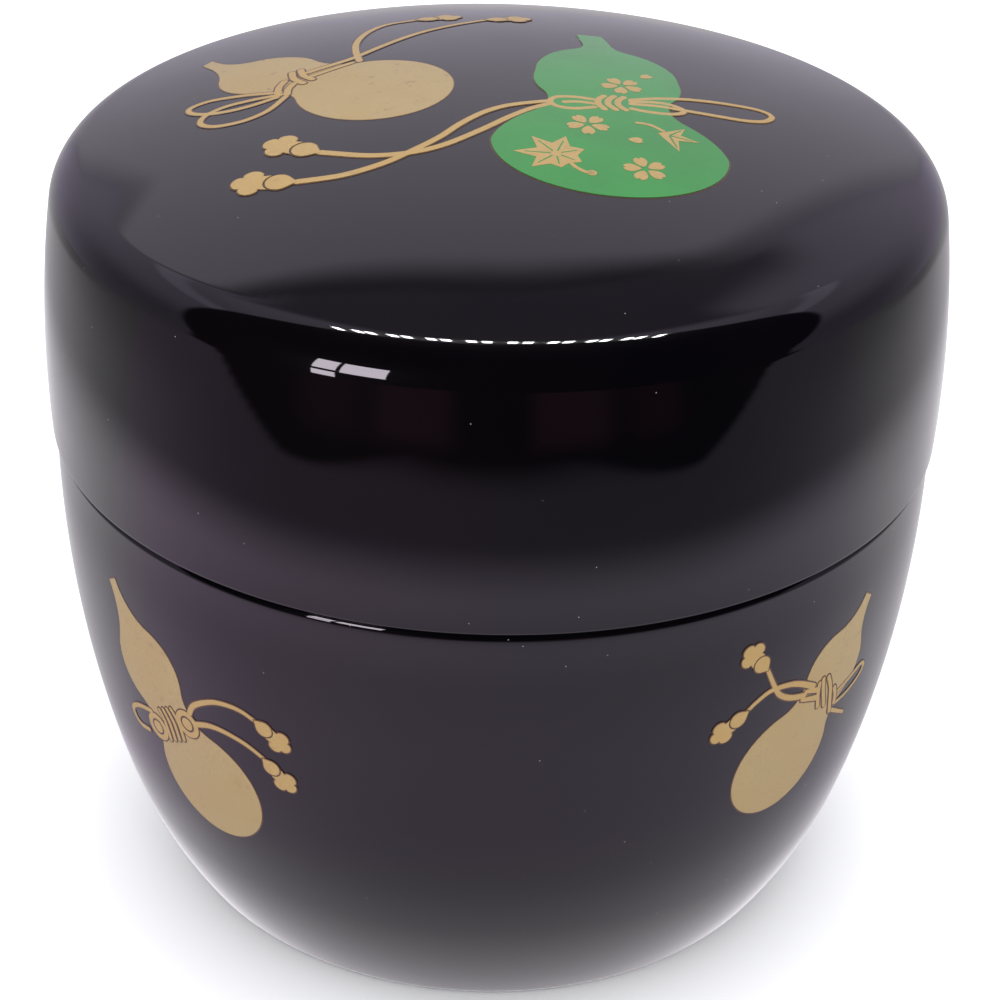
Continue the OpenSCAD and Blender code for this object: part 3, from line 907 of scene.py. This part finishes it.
# Each motif: its gourd; bows behind the knot; eyes, cords and wraps, each wrap over the last.
# Widths are those of a line's start and end.
LID_GOLD = {
    "shape": (5.6, 3.8, 9.4, 3, 4, 0.6, 1.0, (1, 1), 2.1),
    "at": (-9, 0.2),
    "turn": 58,
    "bow_w": (0.42, 0.42),
    "bows": [
        [(-15.7, 0.8), (-17.2, 1.1), (-18.8, 1.3), (-20.8, 1.3), (-22, 0.7), (-22.2, 0),
         (-21.7, -0.7), (-20.6, -1.2), (-19.2, -1.3), (-17.6, -0.9), (-15.9, 0)],
        [(-15.6, 0.4), (-17.8, 0.1), (-19.6, -0.4), (-20.8, -1.4), (-21.1, -2.5), (-20.6, -3.3),
         (-19.5, -3.7), (-17.8, -3.4), (-16.3, -2.2), (-15.2, 0.1)],
    ],
    "eyes": [],
    "cord_w": (0.5, 0.42),
    "cords": [
        [(-10.4, 6), (-10.8, 8.4), (-10.9, 10.9), (-10.4, 13.6), (-9.5, 15.7), (-8.4, 16.9),
         (-6.6, 17.8)],
        [(-13.7, 3.5), (-12.8, 4.2), (-11.8, 5), (-10.9, 5.7)],
        [(-14, 4.4), (-13.2, 5), (-12.1, 5.8), (-11, 6.7), (-10.1, 7.8), (-9.1, 9.2),
         (-6.4, 12.8), (-3.8, 15.4), (-1.3, 17.5)],
    ],
    "wrap_w": (0.5, 0.5),
    "wraps": [
        [(-15.6, 3), (-15.9, 1.9), (-15.9, 0.7)],
        [(-14.9, 2.3), (-15.2, 1.3), (-15.2, 0.3)],
        [(-15.2, 4.7), (-14.95, 3.3), (-14.2, 2.2)],
        [(-14.6, 5.1), (-14.3, 3.8), (-13.6, 2.8)],
    ],
    "tassels": [((-6.8, 17.7), 18), ((-1.5, 17.4), 14)],
    "tassel_size": 1.0,
}

LID_GREEN = {
    "shape": (6.6, 6.1, 12, 3, 1.8, 1.25, 2.7, (1.23, 0.84), -1.1),
    "at": (7.5, -8.6),
    "turn": 0,
    "bow_w": (0.42, 0.42),
    "bows": [
        [(9.1, -1), (10.8, -0.2), (13.4, 0.6), (16.3, 1), (18.4, 1), (19.2, 0.3), (18.8, -0.7),
         (17.9, -1.3), (16.4, -1.6), (13, -1.6), (11.1, -1.5), (9.1, -1.7)],
        [(9.1, -1.3), (10.8, -0.9), (12, -1), (12.8, -1.6), (12.5, -2.3), (11.4, -2.7),
         (10, -2.7), (9.1, -2.5)],
        [(6.5, -2.3), (5.4, -2.2), (4.4, -2.4)],
        [(6.5, -1.6), (5.2, -1.4), (3.9, -1.6), (3.4, -2.4), (3.9, -3.2), (5.1, -3.4),
         (6.5, -2.9)],
    ],
    "eyes": [],
    "cord_w": (0.46, 0.56),
    "cords": [
        [(3.3, -2.9), (2, -3.9), (0.6, -5.3), (-1.3, -7.4), (-3.8, -9.6), (-6.2, -10.6),
         (-8.9, -10.7), (-12.1, -9.8)],
        [(3.3, -2.4), (1.3, -3.1), (-0.1, -3.8), (-1.4, -4.9), (-2.8, -6.6), (-4.2, -8.6),
         (-6.2, -10.6), (-8, -12), (-10.5, -13.1), (-13.4, -13.4)],
    ],
    "wrap_w": (0.46, 0.46),
    "wraps": [
        [(7.2, -0.8), (6.8, -1.5), (6.8, -2.3), (7.2, -3.1)],
        [(7.9, -0.7), (7.5, -1.5), (7.5, -2.3), (8, -3)],
        [(8.6, -0.7), (8.2, -1.4), (8.2, -2.2), (8.7, -2.9)],
    ],
    "tassels": [((-12.1, -9.8), 151), ((-13.4, -13.4), 171)],
    "tassel_size": 1.25,
}

BODY_LEFT = {
    "shape": (4.75, 3.6, 9.2, 3.2, 5.5, 0.48, 0.05),
    "at": (2.2, 18.45),
    "turn": 32,
    "bow_w": (0.36, 0.36),
    "bows": [[(-3.2, 22.2), (-4.9, 21.7), (-6, 20.9), (-5.9, 20.1), (-5.2, 19.7), (-4.1, 19.9)]],
    "eyes": [(-2.6, 21.1), (1.15, 23.4)],
    "cord_w": (0.46, 0.3),
    "cords": [
        [(1.5, 24.4), (2.2, 25.6), (3.9, 26.7), (5.3, 27.1), (6.6, 27.1), (7.7, 26.7)],
        [(2.2, 23.9), (3.5, 24.4), (4.9, 24.5), (6.6, 24.2), (8, 23.5)],
    ],
    "wrap_w": (0.33, 0.33),
    "wraps": [
        [(-2, 23), (-1.5, 22.1), (-1.2, 20.7)],
        [(-1.5, 23.3), (-0.95, 22.4), (-0.65, 21)],
        [(-1, 23.6), (-0.4, 22.7), (-0.1, 21.3)],
        [(-0.5, 23.9), (0.15, 23), (0.45, 21.6)],
    ],
    "tassels": [((7.65, 26.75), -35), ((7.95, 23.5), -46)],
    "tassel_size": 0.86,
}

BODY_RIGHT = {
    "shape": (4.6, 3.3, 7.5, 2.6, 4, 0.48, 0.05),
    "at": (-1.7, 21.2),
    "turn": -34,
    "bow_w": (0.34, 0.26),
    "bows": [
        [(2.6, 24.6), (4.6, 25.2), (6.4, 25.7), (7, 25.3), (6.5, 24.6), (5, 24), (3.3, 23.8)],
        [(2.8, 23.6), (4, 22.8), (5.2, 22)],
    ],
    "eyes": [],
    "cord_w": (0.5, 0.3),
    "cords": [
        [(-0.8, 26.7), (-2.3, 27.2), (-3.5, 28), (-4.2, 29.1), (-5, 30.7)],
        [(0.1, 27.1), (-1.4, 28), (-2.7, 28.5), (-4.4, 28.7), (-5.6, 28.2), (-6.3, 27.7)],
        [(0.7, 26.5), (-0.7, 27)],
        [(0.7, 25.8), (-1, 26.4)],
    ],
    "wrap_w": (0.36, 0.36),
    "wraps": [
        [(2.9, 25.6), (3.2, 24.8), (3.3, 24)],
        [(0.8, 27), (0.85, 26), (1.1, 24.8)],
        [(1.2, 27.2), (1.45, 26), (1.9, 24.5)],
        [(1.8, 27.1), (2.3, 26), (2.6, 24.7), (2.9, 23.4)],
    ],
    "tassels": [((-6.2, 27.7), 212), ((-5, 30.7), 130)],
    "tassel_size": 0.9,
}
# Radius of an eye, and width of the brown ring drawn on it
EYE_R = 1.15
EYE_LINE = 0.16

# Flowers over the green gourd: middle and turn of each blossom and loose petal
BLOSSOM_R = 1.5
BLOSSOMS = [((8.5, 1.5), 50), ((6, -5.8), 55), ((9.8, -11.4), 108)]
LOOSE_PETALS = [((9.8, 3.4), 48), ((8.5, -7.5), 0)]
LOOSE_R = 1.25
# Leaves: outline, place and turn, and the bearing and length of each vein drawn on them
LOBES = (2.1, 2.6, 2.8, 2.9, 2.5, 1.85, 1.95)
LEAF = {
    "outline": maple(LOBES, 308.6, 1.45, 1.45),
    "at": (3.8, -10.4),
    "turn": 178,
    "veins": [(a, 0.72 * r) for a, r in zip(range(-154, 160, 51), LOBES)],
    "vein_start": 0.45,
}
FOLDED = {
    "outline": maple([2.25, 2.1, 1.8], 124, 0.85, 0.8),
    "at": (11.6, -6.2),
    "turn": -12,
    "veins": [(-62, 1.7), (0, 1.6), (62, 1.3)],
    "vein_start": 0.1,
}
STALKS = [
    [(4.6, -11.2), (5.1, -12), (5.7, -12.5), (6.2, -12.6)],
    [(9.4, -4.8), (10.3, -4.9), (11.2, -5.6)],
]
STALK_W = 0.3
KNOB = ((6.2, -12.6), 0.33)
VEIN_W = 0.14

# Heights of the layers of a drawing over the lacquer: its film, its first line, and how far a
# gold line stands over its brown one
ON_BLACK = {"film": 0.024, "first": 0.027, "rise": 0.012}
ON_GREEN = {"film": 0.050, "first": 0.011, "rise": 0.043}
FLOWER_TOP = 0.066
VEIN_TOP = 0.072


def draw(plan, lift, sizes, heights=ON_BLACK):
    """Lays out one whole motif."""
    motif = Motif(lift, sizes, **heights)
    motif.gourd(plan["shape"], plan["at"], plan["turn"])
    for route in plan["bows"]:
        motif.line(route, plan["bow_w"])
    for route in plan["cords"]:
        motif.line(route, plan["cord_w"])
    for at in plan["eyes"]:
        motif.eye(at)
    for route in plan["wraps"]:
        motif.line(route, plan["wrap_w"])
    for at, turn in plan["tassels"]:
        motif.tassel(at, turn, plan["tassel_size"])
    return motif


def draw_flowers(lift):
    """Blossoms, petals and leaves over the green gourd, and the veins drawn on the leaves."""
    gold_film, veins = Drawing(lift), Drawing(lift)
    petals = [(at, turn + 72 * k, BLOSSOM_R) for at, turn in BLOSSOMS for k in range(5)]
    petals += [(at, turn, LOOSE_R) for at, turn in LOOSE_PETALS]
    for at, turn, r in petals:
        middle = turned_to([(0.6 * r, 0)], at, turn)[0]
        gold_film.star(turned_to(petal(r), at, turn), middle, FLOWER_TOP)
    for leaf in (LEAF, FOLDED):
        gold_film.star(turned_to(leaf["outline"], leaf["at"], leaf["turn"]), leaf["at"], FLOWER_TOP)
        for a, reach in leaf["veins"]:
            ends = [polar((0, 0), r, a) for r in (leaf["vein_start"], reach / 2, reach)]
            route = turned_to(ends, leaf["at"], leaf["turn"])
            veins.band(cord_rows(route, (VEIN_W, 0.6 * VEIN_W)), VEIN_TOP, 4)
    for route in STALKS:
        gold_film.band(cord_rows(route, (STALK_W, STALK_W)), FLOWER_TOP, 4)
    gold_film.star([polar(*KNOB, a) for a in range(0, 360, 20)], KNOB[0], FLOWER_TOP)
    return gold_film, veins


def lay(motif, name, body, slot, film, line, ground):
    """Makes a motif's film, its lines and the brown ground that shows round them."""
    finished(motif.film.build.piece(name + "_film"), body, slot, film, name + "_gourd")
    finished(motif.lines.build.piece(name + "_lines"), body, "gold_line", line,
             name + "_gourd_cord")
    finished(motif.under.build.piece(name + "_ground"), body, "gold_line", ground)


# ---- operators ----


class CADDY_OT_finish_wood(bpy.types.Operator):
    """Gives the two turned cores their wood"""

    bl_idname = "caddy.finish_wood"
    bl_label = "Finish the wood cores"

    def execute(self, context):
        material = turned_wood(context.scene.caddy_finish)
        for node in ("body_core", "lid_core"):
            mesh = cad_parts[node].data
            mesh.materials.clear()
            mesh.materials.append(material)
        return {"FINISHED"}


class CADDY_OT_coat_body(bpy.types.Operator):
    """Builds the body's lacquer: its wall, the base under it and the lining with the rim"""

    bl_idname = "caddy.coat_body"
    bl_label = "Coat the body"

    def execute(self, context):
        s = context.scene.caddy_shape
        f = context.scene.caddy_finish
        o = Outlines(s)
        outer, inner = s.outer_coat / MM, s.inner_coat / MM
        rim = s.rim_r / MM
        wall = o.wall(0, o.split_z) + [Vector((rim, o.ledge_z))]
        back = [Vector((rim, o.ledge_z - outer))] + list(reversed(o.wall(outer, o.split_z)))
        shell = turned("body_shell", wall + back)
        finished(shell, "body", "outer_lacquer", polished_lacquer(f), "body_lacquer")

        recess, depth = s.recess_r / MM, s.recess_d / MM
        under = [Vector((0, depth)), Vector((recess - depth, depth)), Vector((recess, 0))]
        under += cut_below(o.wall(0), o.split_z)
        above = list(reversed(cut_below(o.wall(outer), o.split_z)))
        above += [Vector((recess, outer)), Vector((recess - depth, depth + outer)),
                  Vector((0, depth + outer))]
        base = turned("base_shell", under + above)
        finished(base, "body", "base_lacquer", base_lacquer(f), "base_lacquer")

        round_r = o.rim_round
        rim_c = Vector((rim - round_r, o.rim_top - round_r))
        inside = o.hollow(0)
        mouth = s.inner_r / MM
        top = [Vector((mouth, o.rim_top))] + list(reversed(arc(rim_c, round_r, 0, 90, o.SHORT)))
        face = inside + top + [Vector((rim, o.ledge_z - outer))]
        core_c = arc(rim_c, round_r - inner, 0, 90, o.SHORT)
        hidden = [Vector((rim - inner, o.ledge_z - outer))] + core_c
        hidden += [Vector((mouth + inner, o.rim_top - inner))] + list(reversed(o.hollow(inner)))
        lining = turned("body_lining", face + hidden)
        finished(lining, "body", "inner_lacquer", satin_lacquer(f), "body_inner_lacquer")
        return {"FINISHED"}


class CADDY_OT_coat_lid(bpy.types.Operator):
    """Builds the lid's lacquer: its outer shell and its lining"""

    bl_idname = "caddy.coat_lid"
    bl_label = "Coat the lid"

    def execute(self, context):
        s = context.scene.caddy_shape
        f = context.scene.caddy_finish
        o = Outlines(s)
        outer, inner = s.outer_coat / MM, s.inner_coat / MM
        bore = s.lid_bore_r / MM
        outside = o.lid_outer(0)
        lower = o.lid_outer(outer)
        lower[0] = Vector((lower[0].x, o.seam_z + outer))
        edge = [Vector((bore + inner, o.seam_z + outer)), Vector((bore + inner, o.seam_z))]
        shell = turned("lid_shell", outside + list(reversed(lower)) + edge)
        finished(shell, "lid", "outer_lacquer", polished_lacquer(f), "lid_lacquer")
        lining = turned("lid_lining", o.lid_inner(0) + list(reversed(o.lid_inner(inner))))
        finished(lining, "lid", "inner_lacquer", satin_lacquer(f), "lid_inner_lacquer")
        return {"FINISHED"}


class CADDY_OT_draw_lid(bpy.types.Operator):
    """Draws the gold gourd and the green gourd on the lid"""

    bl_idname = "caddy.draw_lid"
    bl_label = "Draw on the lid"

    def execute(self, context):
        s = context.scene.caddy_shape
        f = context.scene.caddy_finish
        lift = OnLid(Outlines(s))
        powder = gold("gold_powder", f.gold, 0.5)
        line = gold("gold_line", f.gold_line, 0.15)
        brown = drawing_lacquer(f)
        green = green_lacquer(f)
        lay(draw(LID_GOLD, lift, s), "lid_gold", "lid", "gold_powder", powder, line, brown)
        lay(draw(LID_GREEN, lift, s, ON_GREEN), "lid_green", "lid", "green_film", green, line,
            brown)
        flowers, veins = draw_flowers(lift)
        finished(flowers.build.piece("lid_green_flowers"), "lid", "gold_line", line,
                 "lid_green_gourd_flowers")
        finished(veins.build.piece("lid_green_veins"), "lid", "green_film", green)
        return {"FINISHED"}


class CADDY_OT_draw_body(bpy.types.Operator):
    """Draws the four gold gourds round the body"""

    bl_idname = "caddy.draw_body"
    bl_label = "Draw on the body"

    def execute(self, context):
        s = context.scene.caddy_shape
        f = context.scene.caddy_finish
        o = Outlines(s)
        powder = gold("gold_powder_body", f.gold, 0.2)
        line = gold("gold_line_body", f.gold_line, 0.15)
        brown = drawing_lacquer(f)
        places = [
            ("front_left", BODY_LEFT, -43), ("front_right", BODY_RIGHT, 45),
            ("back_left", BODY_RIGHT, 225), ("back_right", BODY_LEFT, 137),
        ]
        for name, plan, bearing in places:
            motif = draw(plan, OnBody(o, bearing), s)
            lay(motif, name, "body", "gold_powder", powder, line, brown)
        return {"FINISHED"}


# ---- stage ----

# Tints of the tent's cloth behind and beside the caddy, of its floor sheet to the left, to the
# right and behind, and of the dim room beyond its open front
BACK_TINT = (0.98, 0.92, 1.08)
SIDE_TINT = (0.98, 0.87, 1.14)
LEFT_TINT = (1.12, 0.89, 1.19)
RIGHT_TINT = (0.93, 0.85, 1.03)
FAR_TINT = (1.0, 0.965, 1.03)
ROOM_TINT = (0.10, 0.035, 0.055)


# The seam round the tent's back panel: bearing of its upright sides on the right and, low down
# and high up, on the left; height of its top; width over which its corners are rounded
SEAM_RIGHT = 153
SEAM_LEFT = (151, 137)
SEAM_TOP = 60
SEAM_ROUND = 2.5

# Radii about the caddy at which the floor sheet's brightness changes, and distance from the
# caddy to its front edge in the middle and at its sides
FOOT_SHADE = (25, 39)
APRON = (84, 114)
FRONT_EDGE = (-160, -108)


def seam_distance(bearing, el):
    """Degrees inside the seam that runs round the tent's back panel; below 0 outside it."""
    a = abs(bearing)
    if bearing < 0:
        aside = a - mix(*SEAM_LEFT, smoothstep(28, 42, el))
        sag = 0.0062
    else:
        aside = a - SEAM_RIGHT
        sag = 0.014
    aside *= cos(radians(el))
    above = SEAM_TOP - sag * (180 - a) ** 2 - el
    return -SEAM_ROUND * log(exp(-aside / SEAM_ROUND) + exp(-above / SEAM_ROUND))


def tent_glow(bearing, el):
    """Painted glow of the tent's cloth in a direction, its light and shade: bearing from the front,
    el above level.
    """
    a = abs(bearing)
    inside = seam_distance(bearing, el)
    # Back panel: brighter upwards, with painted shade along its seam
    seam_shade = mix(0.55, 0.14, smoothstep(38, 57, el))
    blur = mix(3, 5.5, smoothstep(46, 56, el))
    back = mix(seam_shade, mix(0.60, 1.0, smoothstep(-5, 50, el)), smoothstep(0, blur, inside))
    # Side panels: brighter towards the back, with a painted band of light high up where the lamps
    # light them, and darker overhead
    side = mix(0.29 + 0.33 * smoothstep(100, 140, a), 0.62, smoothstep(12, 38, el))
    lamp_lit_band = smoothstep(42, 44, el) * (1 - smoothstep(47, 50, el))
    side += 0.35 * lamp_lit_band * (1 - smoothstep(134, 140, a))
    top = mix(0.7, 0.19, smoothstep(125, 150, a))
    overhead = max(smoothstep(51, 57, el), smoothstep(146, 152, a) * smoothstep(38, 46, el))
    side = mix(side, top, overhead)
    cloth = back if inside > 0 else mix(seam_shade, side, smoothstep(0, 1.2, -inside))
    # Open front: its edges lean back with height
    edge = mix(72 + 0.33 * max(el, 0), 70 + 0.62 * max(el, 0), bearing > 0)
    lit = mix(0.015, cloth, smoothstep(edge, edge + 2.5, a))
    tint = BACK_TINT if inside > 0 else SIDE_TINT
    return tuple(lit * c for c in tint)


def floor_glow(x, y):
    """Painted glow of the tent's floor sheet at a place, with its light and the caddy's shade on it,
    in millimetres from the caddy's axis.
    """
    r = hypot(x, y)
    a = abs(degrees(atan2(x, -y)))
    # Round the caddy: bright at its foot, in its shade beyond, then bright again
    foot = mix(1.12, 0.62, smoothstep(60, 125, a))
    near = mix(mix(foot, 0.62, smoothstep(*FOOT_SHADE, r)), 0.75, smoothstep(39, 60, r))
    near = mix(near, 0.95, smoothstep(72, 90, r))
    # Further out: dim towards the open front
    aside = smoothstep(35, 110, a)
    far = mix(0.24, 0.62, smoothstep(40, 140, a))
    far = mix(far, mix(min(far, 0.3), 0.6, smoothstep(115, 140, a)), smoothstep(140, 215, r))
    sheet = mix(near, far, smoothstep(APRON[0] + 12 * aside, APRON[1] + 14 * aside, r))
    # The sheet's front edge: soft in the middle, crisp at its sides
    wing = smoothstep(50, 115, abs(x))
    brink = mix(*FRONT_EDGE, wing)
    blur = mix(24, 4, wing)
    sheet *= smoothstep(brink - blur, brink + blur, y)
    tint = [mix(c, d, smoothstep(-60, 60, x)) for c, d in zip(LEFT_TINT, RIGHT_TINT)]
    plain = max(smoothstep(-25, 15, y), 1 - smoothstep(28, 46, r))
    tint = [mix(c, d, plain) for c, d in zip(tint, FAR_TINT)]
    # Dim warm patches of the room beyond it
    room = smoothstep(175, 215, r)
    room *= smoothstep(6, 12, a) * (1 - smoothstep(22, 30, a)) + 0.6 * smoothstep(26, 34, a)
    room *= 1 - smoothstep(38, 46, a)
    return tuple(max(sheet * c, 0.016 + room * d) for c, d in zip(tint, ROOM_TINT))


def glow_material(name, strength, attribute=None, tint=(1, 1, 1)):
    """Light given off by a card, even or as painted on its points."""
    material = bpy.data.materials.new(name)
    material.use_nodes = True
    nodes = material.node_tree.nodes
    nodes.clear()
    output = nodes.new("ShaderNodeOutputMaterial")
    light = nodes.new("ShaderNodeEmission")
    light.inputs["Strength"].default_value = strength
    light.inputs["Color"].default_value = (*tint, 1)
    material.node_tree.links.new(light.outputs["Emission"], output.inputs["Surface"])
    if attribute:
        painted = nodes.new("ShaderNodeAttribute")
        painted.attribute_name = attribute
        material.node_tree.links.new(painted.outputs["Color"], light.inputs["Color"])
    return material


def card(name, verts, faces, material, colours=None):
    """A piece of the stage that only polished surfaces see."""
    mesh = bpy.data.meshes.new(name)
    mesh.from_pydata([tuple(c * MM for c in v) for v in verts], [], faces)
    if colours:
        layer = mesh.color_attributes.new("glow", "FLOAT_COLOR", "POINT")
        for i, c in enumerate(colours):
            layer.data[i].color = (*c, 1)
    mesh.shade_smooth()
    mesh.materials.append(material)
    obj = bpy.data.objects.new(name, mesh)
    bpy.context.scene.collection.objects.link(obj)
    obj.visible_camera = False
    obj.visible_diffuse = False
    obj.visible_shadow = False
    obj.visible_transmission = False
    obj.visible_volume_scatter = False
    return obj


def grid_faces(rows, columns):
    """Faces of a grid whose columns close on themselves."""
    faces = []
    for i in range(rows - 1):
        for k in range(columns):
            n = (k + 1) % columns
            faces.append((i * columns + k, i * columns + n, (i + 1) * columns + n,
                          (i + 1) * columns + k))
    return faces


def tent_dome(strength):
    """The tent's cloth: a glowing dome over the caddy with its light and shade painted on, bright
    behind and dark at its open front.
    """
    r, centre_z, columns = 450, 45, 360
    heights = [-6 + 96 * i / 140 for i in range(140)] + [89.9]
    verts, colours = [], []
    for el in heights:
        for k in range(columns):
            bearing = -180 + 360 * k / columns
            flat = r * cos(radians(el))
            verts.append((flat * sin(radians(bearing)), -flat * cos(radians(bearing)),
                          centre_z + r * sin(radians(el))))
            colours.append(tent_glow(bearing, el))
    card("tent_dome", verts, grid_faces(len(heights), columns),
         glow_material("tent_cloth_painted_light", strength, "glow"), colours)


def tent_floor(strength):
    """The tent's floor sheet: a glowing card with its light and the caddy's shade painted on, bright
    round the caddy and fading outwards.
    """
    columns, lift = 180, 0.05
    radii = [23 + 0.025 * i * (i + 40) for i in range(116)]
    verts, colours = [], []
    for r in radii:
        for k in range(columns):
            a = 2 * pi * k / columns
            x, y = r * sin(a), -r * cos(a)
            verts.append((x, y, lift))
            colours.append(floor_glow(x, y))
    card("tent_floor", verts, grid_faces(len(radii), columns),
         glow_material("tent_sheet_painted_light", strength, "glow"), colours)


def quad(centre, across, up):
    """Corners of a flat card from its middle and its two half sides."""
    c, a, u = Vector(centre), Vector(across), Vector(up)
    return [c - a - u, c + a - u, c + a + u, c - a + u]


def light_strip():
    """A row of small lamps over the caddy, on their pale board, whose faint glow is painted light."""
    count, x0, x1, y, z = 18, -108, 110, 28, 360
    verts, faces = [], []
    for i in range(count):
        x = x0 + (x1 - x0) * (i + 0.25 * (i % 2)) / (count - 1)
        start = len(verts)
        verts += quad((x, y, z), (3.1, 0, 0), (0, 12, 0))
        faces.append((start, start + 1, start + 2, start + 3))
    card("light_strip", verts, faces, glow_material("lamps", 70.0))
    board = quad(((x0 + x1) / 2, y, z + 2), ((x1 - x0) / 2 + 12, 0, 0), (0, 17, 0))
    card("light_board", board, [(0, 1, 2, 3)], glow_material("lamp_board_painted_glow", 0.55))


def upright(left, right, low, high, distance):
    """Corners of an upright card between two bearings and two heights, facing the caddy."""
    corners = []
    for bearing, z in ((left, low), (right, low), (right, high), (left, high)):
        a = radians(bearing)
        corners.append((distance * sin(a), -distance * cos(a), z))
    return corners


# Panes of the window: left and right bearing, lowest and highest point of each
PANES = ((-40.5, -35, 74, 150), (-40.5, -35, 20, 58), (-34, -23.5, 66, 150))
WINDOW_AWAY = 270


def room_window():
    """Panes of a window beyond the tent's open front."""
    verts, faces = [], []
    for pane in PANES:
        start = len(verts)
        verts += upright(*pane, WINDOW_AWAY)
        faces.append((start, start + 1, start + 2, start + 3))
    card("room_window", verts, faces, glow_material("window_panes", 12.0, None, (1.0, 0.9, 1.02)))


class CADDY_OT_build_stage(bpy.types.Operator):
    """Lays the pale floor, hangs the white tent and sets the soft light"""

    bl_idname = "caddy.build_stage"
    bl_label = "Build the stage"

    def execute(self, context):
        studio = context.scene.caddy_studio
        context.scene.view_settings.view_transform = "Standard"
        mesh = bpy.data.meshes.new("floor")
        mesh.from_pydata([tuple(v) for v in quad((0, 0, 0), (3, 0, 0), (0, 3, 0))], [],
                         [(0, 1, 2, 3)])
        floor = bpy.data.objects.new("floor", mesh)
        context.scene.collection.objects.link(floor)
        paper = Finish("white_paper")
        paper.set(
            Base_Color=paper.blend(paper.noise(6), (0.93, 0.93, 0.94), (0.95, 0.95, 0.95)),
            Roughness=0.9,
            Specular_IOR_Level=0.0,
        )
        mesh.materials.append(paper.material)
        tent_dome(studio.tent)
        tent_floor(studio.tent)
        light_strip()
        room_window()
        world = bpy.data.worlds.new("soft_light")
        world.use_nodes = True
        sky = world.node_tree.nodes["Background"]
        sky.inputs["Color"].default_value = (0.97, 0.97, 1.0, 1)
        sky.inputs["Strength"].default_value = studio.daylight
        context.scene.world = world
        lamp = bpy.data.lights.new("top_light", "AREA")
        lamp.shape = "DISK"
        lamp.size = 0.5
        lamp.energy = 0.4
        above = bpy.data.objects.new("top_light", lamp)
        above.location = (0.05, 0.12, 0.55)
        above.rotation_euler = Vector(above.location).to_track_quat("Z", "Y").to_euler()
        above.visible_glossy = False
        above.visible_camera = False
        context.scene.collection.objects.link(above)
        return {"FINISHED"}


class CADDY_OT_place_camera(bpy.types.Operator):
    """Sets the camera in front of the caddy, looking down on its lid"""

    bl_idname = "caddy.place_camera"
    bl_label = "Place the camera"

    def execute(self, context):
        studio = context.scene.caddy_studio
        camera = bpy.data.cameras.new("camera")
        camera.lens = studio.lens
        camera.sensor_width = 36
        camera.clip_start = 0.01
        obj = bpy.data.objects.new("camera", camera)
        target = Vector((0.64 * MM, 0, 28.12 * MM))
        back = Vector((0, -cos(studio.elevation), sin(studio.elevation)))
        obj.location = target + back * studio.distance
        facing = (-back).to_track_quat("-Z", "Y")
        obj.rotation_mode = "QUATERNION"
        obj.rotation_quaternion = facing @ Matrix.Rotation(studio.roll, 3, "Z").to_quaternion()
        context.scene.collection.objects.link(obj)
        context.scene.camera = obj
        return {"FINISHED"}


class CADDY_PT_panel(bpy.types.Panel):
    """Buttons for the caddy's pieces and its stage, with their sizes and finishes"""

    bl_idname = "CADDY_PT_panel"
    bl_label = "Tea caddy"
    bl_space_type = "VIEW_3D"
    bl_region_type = "UI"
    bl_category = "Tea caddy"

    def draw(self, context):
        for step in STEPS:
            self.layout.operator(step.bl_idname)
        for name, group in GROUPS.items():
            settings = getattr(context.scene, name)
            box = self.layout.box()
            for key in group.__annotations__:
                box.prop(settings, key)


STEPS = (
    CADDY_OT_place_camera,
    CADDY_OT_finish_wood,
    CADDY_OT_coat_body,
    CADDY_OT_coat_lid,
    CADDY_OT_draw_lid,
    CADDY_OT_draw_body,
    CADDY_OT_build_stage,
)
GROUPS = {"caddy_shape": CaddyShape, "caddy_finish": CaddyFinish, "caddy_studio": CaddyStudio}


def register():
    """Registers the classes and hangs the settings on the scene."""
    for cls in (*GROUPS.values(), *STEPS, CADDY_PT_panel):
        bpy.utils.register_class(cls)
    for name, group in GROUPS.items():
        setattr(bpy.types.Scene, name, PointerProperty(type=group))


def unregister():
    """Takes the settings and the classes away again."""
    for name in GROUPS:
        delattr(bpy.types.Scene, name)
    for cls in (CADDY_PT_panel, *reversed(STEPS), *reversed(GROUPS.values())):
        bpy.utils.unregister_class(cls)


def main():
    """Builds everything in order."""
    register()
    for step in STEPS:
        group, name = step.bl_idname.split(".")
        getattr(getattr(bpy.ops, group), name)()


if __name__ == "__main__":
    main()
